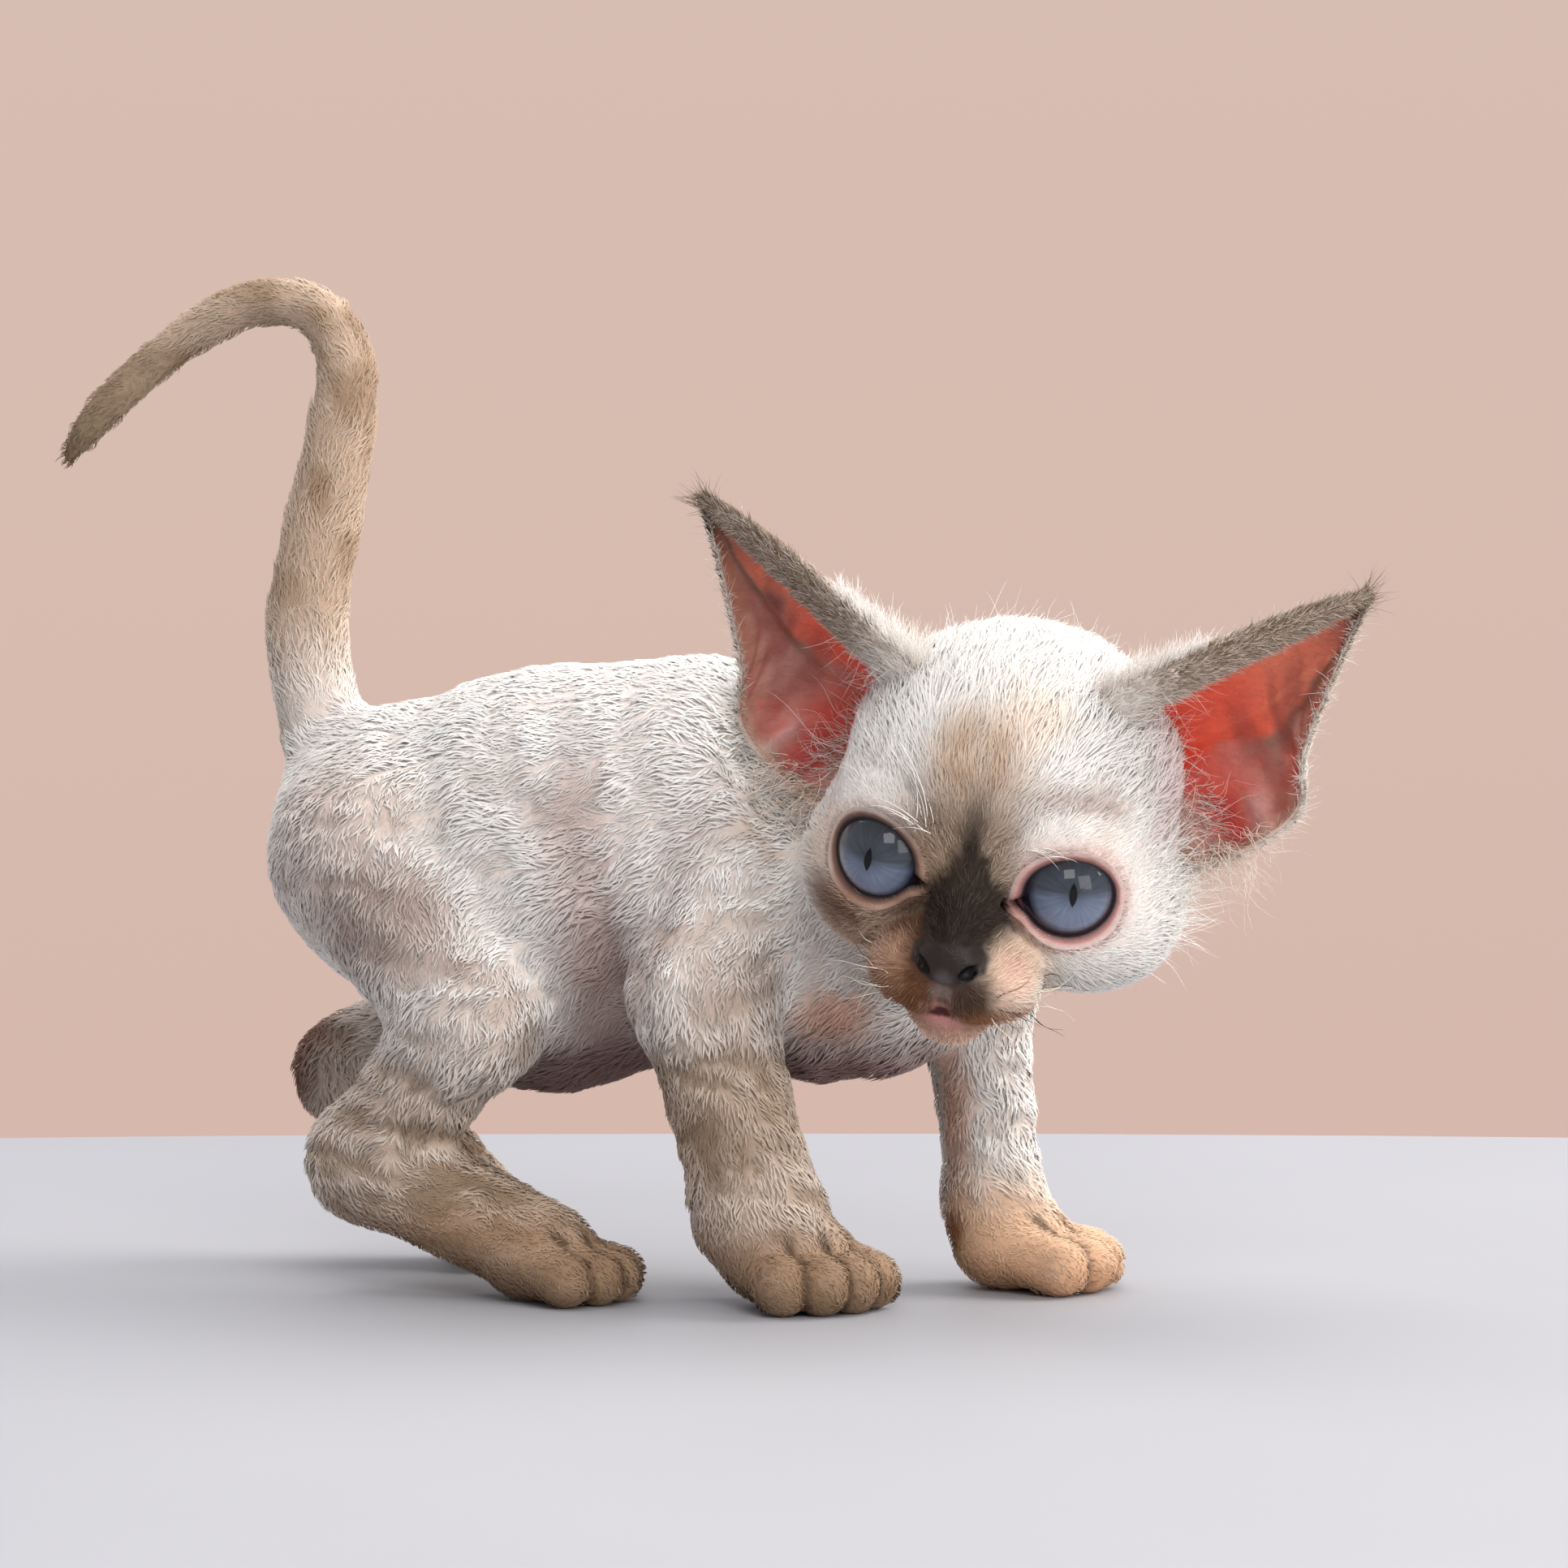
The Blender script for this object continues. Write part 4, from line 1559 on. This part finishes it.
def ear_coat(ear, side_name):
    """The hair of an ear: on its back, over its rims and in its cup."""

    def grow(name, root, *form, uv=None, slot="ear_skin", **more):
        curls(f"{name}_ear_{side_name}", slot, root, *form, head_uv(root) if uv is None else uv, **more)

    # The back, its hair lying to the tip.
    side = ear.side
    count = 7000
    angle = (rng.random(count) * 2 - 1) * math.pi / 2
    t = 0.02 + 0.97 * rng.random(count) ** 0.8
    normal = ear.normal(angle, t)
    root = ear.at(angle, t, EAR["inset"] + 0.1)
    edge = np.abs(angle) / (math.pi / 2)
    length = mix(2.6, 1.7, t) * spread(count, 0.75, 0.5) * mix(1, 0.8, step(0.8, 1, edge))
    colour = ear_colour(angle, t, np.zeros(count, bool), side, root)
    colour = colour * (1 + 0.12 * rng.normal(0, 1, (count, 1)))
    lean = unit(level(unit(ear.ahead(angle, t) + jitter(count, 0.35)), normal))
    head_tufts(f"coat_ear_{side_name}", "ear_skin", root, normal, lean, length, spread(count, 0.3, 0.45), 0.24,
               np.clip(colour, 0, 1), ear_uv(angle, t))

    # The furry band of the front rim.
    count = 4200
    t = 0.03 + 0.96 * rng.random(count) ** 0.8
    across = rng.random(count)
    ends = [ear.at(FRONT_RIM, t, EAR["inset"]), ear.at(FRONT_RIM, t, lining_depth(FRONT_RIM, t))]
    root = mix(*ends, across[:, None]) + np.array([1.0, 0, 0]) * (RIM_SWELL * np.sin(math.pi * across))[:, None]
    ahead = ear.ahead(FRONT_RIM, t)
    over = unit(ends[1] - ends[0])
    normal = np.cross(ahead, over)
    normal = unit(normal * np.sign(normal[:, :1]) + over * (across - 0.5)[:, None] * 0.8)
    lean = unit(ahead + jitter(count, 0.32) + over * (0.55 * (across - 0.3))[:, None])
    lean = unit(level(lean, normal))
    pale = np.clip(rng.random(count) ** 1.5 + 0.9 * step(0.42, 0.08, t) + 0.25 * step(0.4, 1.0, across), 0, 1)
    white = mix(rgb(248, 240, 232), rgb(206, 188, 172), step(0.12, 0.4, t)[:, None])
    uv = np.stack([0.02 + 0.2 * across, 0.02 + 0.96 * t], 1)
    head_tufts(f"rim_ear_{side_name}", "ear_skin", root, normal, lean, spread(count, 1.5, 1.5),
               spread(count, 0.15, 0.4), 0.17, mix(rgb(108, 86, 68), white, pale[:, None]), uv)

    # White fluff that climbs the back of the front rim, and hair inside the outer rim and the lobe.
    count = 1300
    angle = FRONT_RIM + 0.9 * rng.random(count) ** 1.5
    t = 0.46 * rng.random(count)
    root = ear.at(angle, t, 0.5)
    stand = (0.5 + 0.4 * rng.random((count, 1))) * ear.normal(angle, t)
    direction = ear.ahead(angle, t) + stand + jitter(count, 0.22)
    grow("ruff", root, direction, mix(6.5, 3.5, t / 0.46) * spread(count, 0.7, 0.5), jitter(count, 0.18), 0.8, 0.085,
         tones((240, 230, 220), (252, 248, 244), count), steps=5)
    count = 620
    lobe = rng.random(count) < 0.6
    angle = np.where(lobe, 0.45 + 1.1 * rng.random(count), REAR_RIM - 0.22 * rng.random(count))
    t = np.where(lobe, 0.02 + 0.19 * rng.random(count), 0.1 + 0.85 * rng.random(count))
    root = ear.at(angle, t, lining_depth(angle, t) - 0.1)
    outwards = unit(ear.at(angle + 0.1, t) - ear.at(angle - 0.1, t))
    rise = ear.ahead(angle, t, 0.05)
    direction = rise * 0.5 + outwards * 0.8 - 0.35 * ear.normal(angle, t) + jitter(count, 0.25)
    grow("lobe", root, direction, np.where(lobe, 3.2, 1.9) * spread(count, 0.7, 0.6), jitter(count, 0.22), 0.7, 0.06,
         tones((176, 150, 132), (248, 240, 232), count), steps=5)

    # Hair that hides the foot of the front band in the crown.
    count = 300
    t = 0.17 * rng.random(count)
    ends = ear.at(FRONT_RIM, t, EAR["inset"]), ear.at(FRONT_RIM, t, lining_depth(FRONT_RIM, t))
    root = mix(*ends, 1.15 * rng.random((count, 1)) - 0.1)
    direction = ear.ahead(FRONT_RIM, t) + np.array([0.35, 0, 0.25]) + jitter(count, 0.3)
    grow("foot", root, direction, spread(count, 3.5, 3), jitter(count, 0.2), 0.9, 0.085,
         tones((226, 208, 194), (252, 246, 240), count), steps=5)

    # Fine hairs that stand over both rims and the tip.
    count = 760
    edge = np.where(rng.random(count) < 0.62, REAR_RIM, FRONT_RIM)
    t = 0.05 + 0.95 * rng.random(count)
    t[:TIP_HAIRS] = 0.97 + 0.03 * rng.random(TIP_HAIRS)
    root = ear.at(edge, t, 0.6)
    outwards = unit(ear.at(edge, t) - ear.at(0, t) * 0.5 - ear.at(-edge, t) * 0.5)
    direction = ear.ahead(edge, t) + 0.5 * outwards + jitter(count, 0.3)
    length = spread(count, 1.8, 1.6) * mix(1.0, 1.5, step(0.35, 0.1, t) * (edge > 0))
    length[:TIP_HAIRS] = spread(TIP_HAIRS, 2.5, 3.2)
    pale = np.clip(rng.random(count) + 0.5 * (edge > 0), 0, 1) * step(1.0, 0.9, t)
    grow("fringe", root, direction, length, jitter(count, 0.25), 0.6, 0.065,
         mix(rgb(120, 98, 80), rgb(240, 230, 220), pale[:, None]), uv=ear_uv(edge, t), steps=4)

    # Fluff at the foot of the cup, and white wisps from the front rim across it.
    count = 260
    t = 0.02 + 0.2 * rng.random(count)
    angle = (rng.random(count) * 1.5 - 0.55) * math.pi / 3
    root = ear.at(angle, t, 1.6)
    rise = unit(ear.at(angle, t + 0.25) - ear.at(angle, t))
    direction = rise + np.array([0.55, 0, 0]) + jitter(count, 0.3)
    grow("fluff", root, direction, spread(count, 4, 4.5), jitter(count, 0.3), 0.9, 0.07,
         tones((226, 200, 184), (252, 244, 238), count), wavy=0.13)
    count = 150
    t = 0.04 + 0.34 * rng.random(count) ** 1.3
    angle = FRONT_RIM + 0.35 * rng.random(count)
    root = ear.at(angle, t, 1.2)
    target = ear.at(0.5, t + 0.12, 2.0) + np.array([6.0, 0, 0])
    direction = unit(target - root) + jitter(count, 0.35)
    grow("wisps", root, direction, spread(count, 4, 6), jitter(count, 0.25), 1.0, 0.05,
         rgb(244, 236, 226) * (1 - 0.15 * rng.random((count, 1))), steps=6)

    # Curls below the outer rim, from the cheek and the lobe.
    count = 170
    t = 0.28 * rng.random(count)
    root = ear.at(REAR_RIM, t, 0.8) + rng.normal(0, 1, (count, 3)) * [1.2, 1.0, 1.6]
    root[:, 1] -= side * 3 * rng.random(count)
    direction = np.array([0.55, side * 0.75, -0.35]) + jitter(count, 0.4)
    grow("curls", root, direction, spread(count, 4, 4.5), np.array([0.0, side * 0.1, -0.35]) + jitter(count, 0.35),
         1.1, 0.085, tones((222, 192, 168), (250, 240, 230), count), slot="face_coat", steps=9, wavy=0.16)


for side_name, sign in SIDES.items():
    ear_coat(build_ear("shell_ear_" + side_name, sign), side_name)


def long_fluff(name, share_of_roots, count, rise, length, radius, curl):
    """Loose waved hair over part of the head, from the roots of its tufts."""
    chosen = rng.choice(len(root), count, p=share_of_roots / share_of_roots.sum())
    along = lie[chosen] @ HEAD_AXES + rise * (normal[chosen] @ HEAD_AXES)
    size = length * spread(count, 0.7, 0.5)
    curls(name, "face_coat", q[chosen], along + jitter(count, 0.3), size, jitter(count, curl), 1.0, radius,
          np.clip(colour[chosen] * 1.04, 0, 1), head_uv(q[chosen]), steps=6)


cheek = spot(q, [2, 24, -6], [12, 12, 14])
jaw = np.maximum(spot(q, [19, -14, -15], [11, 9, 9]), spot(q, [22, 11, -19], [9, 7, 6]))
long_fluff("fluff_crown", on_head * crown, 1500, 0.45, 4.6, 0.075, 0.3)
long_fluff("fluff_cheek", on_head * cheek + 1e-9, 520, 0.5, 4.8, 0.09, 0.6)
long_fluff("fluff_jaw", on_head * jaw + 1e-9, 1100, 0.45, 2.6, 0.06, 0.25)


# The eyes: balls with a slight bulge ahead, and the iris as their pattern.
def build_eye(side_name, sign):
    rings, around = 48, 64
    theta, phi = np.meshgrid(np.linspace(0, math.pi, rings + 1)[1:-1],
                             np.linspace(0, 2 * math.pi, around, endpoint=False), indexing="ij")
    theta, phi = theta.ravel(), phi.ravel()
    local = np.stack([np.cos(theta), np.sin(theta) * np.cos(phi), np.sin(theta) * np.sin(phi)], 1)
    local = np.vstack([local, [[1, 0, 0], [-1, 0, 0]]])
    bulge = 0.45 * np.exp(-((np.linalg.norm(local[:, 1:], axis=1) / 0.62) ** 4)) * (local[:, 0] > 0)
    axes = gaze_axes(sign, IRIS[side_name])
    points = on_side(EYE["at"], sign) + (local * (EYE["r"] - 0.05 + bulge)[:, None]) @ axes
    faces = []
    for i in range(rings - 2):
        a = i * around + np.arange(around)
        b = i * around + (np.arange(around) + 1) % around
        faces += [np.stack([a, a + around, b + around], 1), np.stack([a, b + around, b], 1)]
    front, rear = len(local) - 2, len(local) - 1
    a, b = np.arange(around), (np.arange(around) + 1) % around
    last = (rings - 2) * around
    faces += [np.stack([a * 0 + front, a, b], 1), np.stack([a * 0 + rear, last + b, last + a], 1)]
    faces = np.concatenate(faces)
    if sign < 0:
        faces = faces[:, ::-1]
    obj = mesh_from("eyeball_" + side_name, from_head(points), faces)
    gaze = obj.data.attributes.new("Gaze", "FLOAT_VECTOR", "POINT")
    gaze.data.foreach_set("vector", np.stack([local[:, 1], local[:, 2], local[:, 0]], 1).astype(np.float32).ravel())
    settle(obj, EYE_GLASS, "eye", "eye_" + side_name)


def build_lids(side_name, sign):
    """The rim of an eye's lids: a band that rises from the ball to the fur, and the short hair on it."""
    around, most = 110, 0.9
    phi = np.linspace(0, 2 * math.pi, around, endpoint=False)
    axes, middle = gaze_axes(sign), on_side(EYE["at"], sign)
    theta = np.linspace(0.2, 1.54, 240)

    def ways(th, ph):
        return np.stack([np.cos(th) + 0 * ph, np.sin(th) * np.cos(ph), np.sin(th) * np.sin(ph)], -1) @ axes

    open_to = lid_gap((middle + ways(theta[None], phi[:, None]) * EYE["r"]).reshape(-1, 3), sign).reshape(around, -1)
    edge = theta[np.argmax(open_to > 0, axis=1)]
    edge = (np.roll(edge, 1) + 2 * edge + np.roll(edge, -1)) / 4
    gaps = np.array([-0.25, -0.05, 0.06, 0.14, 0.2, 0.27, 0.34, 0.42, 0.5, 0.6, 0.74, most])
    far = np.linspace(EYE["r"], LIDS_TO[1], 60)
    rows = []
    for gap in gaps:
        way = ways(edge + gap / (EYE["r"] + 0.5), phi)
        outside = face_field((middle + way[:, None] * far[None, :, None]).reshape(-1, 3)).reshape(around, -1) > 0
        reach = np.where(outside.any(1), far[np.argmax(outside, axis=1)], far[-1])
        reach = (np.roll(reach, 1) + 2 * reach + np.roll(reach, -1)) / 4
        r = mix(EYE["r"] + 0.3, reach - 0.25, step(-0.3, 0.65, gap))
        if gap < 0.1:
            r = r * 0 + EYE["r"] + (0.26 if gap > 0 else 0.16 if gap > -0.1 else -0.15)
        r -= 0.5 * step(0.5, most, gap)
        rows.append(middle + way * r[:, None])
    points = np.concatenate(rows)
    faces = []
    for k in range(len(gaps) - 1):
        a = k * around + np.arange(around)
        b = k * around + (np.arange(around) + 1) % around
        faces.append(np.stack([a, b, b + around, a + around], 1))
    faces = np.concatenate(faces)
    if sign < 0:
        faces = faces[:, ::-1]
    obj = mesh_from("lids_" + side_name, from_head(points), faces)
    gap = np.repeat(gaps, around)
    rosy = rgb(204, 150, 142) if sign > 0 else rgb(150, 112, 96)
    tone = mix(np.broadcast_to(rgb(26, 18, 22), points.shape), rosy, step(0.0, 0.2, gap)[:, None])
    fur = mix(face_colour(points), rosy, 0.2) * 0.84
    paint(obj, mix(tone, fur, step(0.14, 0.34, gap)[:, None]))
    numbers(obj, "Bare", step(0.6, 0.2, gap))
    settle(obj, SKIN, "face_coat")

    # Short hair on the rim, lying away from the eye.
    count = 1500
    row = np.searchsorted(gaps, 0.21 + 0.6 * rng.random(count)) - 1
    column = rng.integers(0, around, count)
    part_way = rng.random((count, 1))
    rows = np.array(rows)
    rim = mix(rows[row, column], rows[row, (column + 1) % around], part_way)
    root = mix(rim, mix(rows[row + 1, column], rows[row + 1, (column + 1) % around], part_way), rng.random((count, 1)))
    normal = unit(unit(root - middle) + 0.25 * axes[0])
    outwards = unit(root - middle - 9 * axes[0])
    away = unit(root - FUR_FROM)
    lie = unit(level(outwards + 0.7 * away + jitter(count, 0.2), normal))
    colour = mix(face_colour(root), rosy, 0.1) * (1 + 0.12 * rng.normal(0, 1, (count, 1)))
    head_tufts("coat_lids_" + side_name, "face_coat", root, normal, lie, spread(count, 1.1, 0.9),
               spread(count, 0.2, 0.25), 0.2, np.clip(colour, 0, 1), head_uv(root))


for side_name, sign in SIDES.items():
    build_eye(side_name, sign)
    build_lids(side_name, sign)


# Whiskers, brow hairs and claws.
def on_face(points, aim_from=(12, 0, -6)):
    origin = np.array(aim_from, float)
    out = []
    for point in points:
        direction = unit(point - origin)
        out.append(origin + direction * (ray_reach(face_field, origin, direction, 45) - 0.3))
    return np.array(out)


BROWS = {  # each bunch: how many hairs, from where, which way, how long, and how they bend
    "right": ((7, [23.2, 7.4, 9.0], [-0.42, 0.3, 1.0], 13.0, [-0.1, 0.35, -0.1]),
              (7, [22.6, 8.6, 8.2], [-0.1, 1.0, 0.5], 8.0, [-0.3, 0, -0.5])),
    "left": ((5, [22.8, 9.0, 8.0], [0.1, 0.9, 0.3], 5.0, [-0.3, 0, -0.7]),),
}
for side_name, sign in SIDES.items():
    places, ways, sizes = [], [], []
    for row in range(3):
        for k in range(5):
            places.append([29.5 - 1.7 * k, sign * (7.4 + 1.2 * k), -12.2 - 2.1 * row])
            ways.append([-0.25 - 0.12 * k, sign * 1.0, 0.1 - 0.5 * row + 0.1 * rng.normal()])
            sizes.append(4 + 5.5 * rng.random())
    count = len(places)
    root = on_face(np.array(places) + jitter(count, 0.3))
    dark = rng.random((count, 1)) < 0.3
    tone = np.where(dark, rgb(52, 42, 38), rgb(244, 232, 212))
    curls("whiskers_" + side_name, "face_coat", root, np.array(ways) + jitter(count, 0.12), np.array(sizes),
          np.array([-0.3, 0, -0.15]) + jitter(count, 0.15), 1.1, 0.085, tone, head_uv(root), steps=9)
    for number, (count, place, way, long, bend) in enumerate(BROWS[side_name]):
        root = on_face(on_side(place, sign) + [0.6, 1.6, 1.0] * rng.normal(0, 0.7, (count, 3)), (10, sign * 6.0, 2))
        curls(f"brow_{side_name}_{number + 1}", "face_coat", root, on_side(way, sign) + jitter(count, 0.13),
              long * spread(count, 0.75, 0.4), on_side(bend, sign) + jitter(count, 0.06), 0.4, 0.1,
              np.broadcast_to(rgb(252, 247, 238), (count, 3)), head_uv(root), steps=10)


def build_claws():
    points, faces = [], []
    rings, around, size = 6, 7, 1.7
    for tip, r, ahead in TOE_TIPS:
        base = tip + ahead * (r * 0.6) + np.array([0, 0, -0.8])
        side = unit(np.cross([0, 0, 1], ahead))
        start = len(points)
        for k in range(rings):
            s = k / rings
            centre = base + ahead * (size * s) + np.array([0, 0, 0.5 * math.sin(s * 2.2) - 1.7 * s**2])
            wide, tall = 0.42 * (1 - s) ** 0.8, 0.75 * (1 - s) ** 0.7
            for j in range(around):
                turn = 2 * math.pi * j / around
                points.append(centre + side * wide * math.cos(turn) + np.array([0, 0, tall * math.sin(turn)]))
        points.append(base + ahead * size + np.array([0, 0, 0.5 * math.sin(2.2) - 1.7]))
        points.append(base - ahead * 0.4)
        for k in range(rings - 1):
            for j in range(around):
                a, b = start + k * around + j, start + k * around + (j + 1) % around
                faces += [[a, b + around, b], [a, a + around, b + around]]
        end, root = start + rings * around, start + rings * around + 1
        for j in range(around):
            a, b = start + (rings - 1) * around + j, start + (rings - 1) * around + (j + 1) % around
            faces.append([a, end, b])
            faces.append([start + j, start + (j + 1) % around, root])
    obj = mesh_from("claws", np.array(points), np.array(faces))
    settle(obj, HORN, "paw_coat")


build_claws()


# The floor, the light and the camera.
def build_table():
    m = Nodes("table_top")
    grain = m.noise(3, 3)
    m.link(m.ramp(grain, (0.35, rgb(163, 163, 167)), (0.65, rgb(168, 168, 172))), m.shader.inputs["Base Color"])
    m.link(m.math("MULTIPLY_ADD", grain, 0.1, 0.5), m.shader.inputs["Roughness"])
    ahead = np.array([-math.sin(math.radians(CAMERA["azimuth"])), math.cos(math.radians(CAMERA["azimuth"])), 0])
    radius, edge = 1500.0, 262.0
    middle = np.array([0, -18, 0]) + ahead * (edge - radius)
    around = 160
    turn = np.linspace(0, 2 * math.pi, around, endpoint=False)
    rim = np.stack([np.cos(turn), np.sin(turn), 0 * turn], 1)
    rings = [(radius, -24.0), (radius, -2.0), (radius - 2, 0.0)]
    points = np.concatenate([middle + rim * r + [0, 0, z] for r, z in rings] + [middle[None]])
    faces = []
    for k in range(len(rings) - 1):
        for i in range(around):
            j = (i + 1) % around
            a, b = k * around, (k + 1) * around
            faces += [[a + i, a + j, b + j], [a + i, b + j, b + i]]
    last = (len(rings) - 1) * around
    faces += [[last + i, last + (i + 1) % around, len(points) - 1] for i in range(around)]
    obj = mesh_from("table", points, faces, smooth=False)
    obj.data.materials.append(m.material)


def add_light(name, at, aim, size, power, colour):
    data = bpy.data.lights.new(name, "AREA")
    data.shape = "RECTANGLE"
    data.size, data.size_y = size
    data.energy = power
    data.color = colour
    obj = bpy.data.objects.new(name, data)
    obj.location = metres(at)
    obj.rotation_euler = (Vector(metres(aim)) - Vector(metres(at))).to_track_quat("-Z", "Y").to_euler()
    bpy.context.scene.collection.objects.link(obj)


def build_world():
    world = bpy.data.worlds.new("studio")
    world.use_nodes = True
    tree = world.node_tree
    back = tree.nodes["Background"]
    back.inputs["Color"].default_value = (0.93, 0.92, 0.98, 1)
    back.inputs["Strength"].default_value = 0.62
    wall = tree.nodes.new("ShaderNodeBackground")
    coord = tree.nodes.new("ShaderNodeTexCoord")
    split = tree.nodes.new("ShaderNodeSeparateXYZ")
    ramp = tree.nodes.new("ShaderNodeValToRGB")
    ramp.color_ramp.elements[0].position = 0.0
    ramp.color_ramp.elements[0].color = (*rgb(214, 184, 172), 1)
    ramp.color_ramp.elements[1].position = 1.0
    ramp.color_ramp.elements[1].color = (*rgb(216, 191, 179), 1)
    scale = tree.nodes.new("ShaderNodeMath")
    scale.operation = "MULTIPLY_ADD"
    scale.inputs[1].default_value = 5.0
    scale.inputs[2].default_value = 0.55
    path = tree.nodes.new("ShaderNodeLightPath")
    blend = tree.nodes.new("ShaderNodeMixShader")
    links = tree.links
    links.new(coord.outputs["Generated"], split.inputs[0])
    links.new(split.outputs[2], scale.inputs[0])
    links.new(scale.outputs[0], ramp.inputs[0])
    links.new(ramp.outputs[0], wall.inputs["Color"])
    links.new(path.outputs["Is Camera Ray"], blend.inputs[0])
    links.new(back.outputs[0], blend.inputs[1])
    links.new(wall.outputs[0], blend.inputs[2])
    links.new(blend.outputs[0], tree.nodes["World Output"].inputs["Surface"])
    bpy.context.scene.world = world
    bpy.context.scene.view_settings.view_transform = "Standard"


def build_camera():
    data = bpy.data.cameras.new("camera")
    data.lens, data.sensor_width = CAMERA["lens"], 36
    data.clip_start, data.clip_end = 0.05, 20
    obj = bpy.data.objects.new("camera", data)
    turn, down = math.radians(CAMERA["azimuth"]), math.radians(CAMERA["pitch"])
    ahead = Vector((-math.sin(turn) * math.cos(down), math.cos(turn) * math.cos(down), -math.sin(down)))
    obj.location = metres(CAMERA["at"])
    obj.rotation_euler = ahead.to_track_quat("-Z", "Y").to_euler()
    bpy.context.scene.collection.objects.link(obj)
    bpy.context.scene.camera = obj


build_table()
build_world()
build_camera()
LIGHTS = (  # each: its name, where it is, what it points at, its size, power and colour
    ("window", [620, 420, 620], [-20, 0, 60], (0.6, 0.6), 8.6, (1.0, 0.97, 0.94)),
    ("overhead", [-200, 120, 800], [-30, 0, 60], (0.8, 0.8), 4.9, (1.0, 0.99, 0.98)),
    ("front", [420, -900, 700], [0, 0, 60], (0.5, 0.5), 5.4, (1.0, 0.985, 0.97)),
    ("side", [950, -520, 260], [0, 0, 60], (0.6, 0.6), 5.1, (1.0, 0.98, 0.965)),
)
for light in LIGHTS:
    add_light(*light)
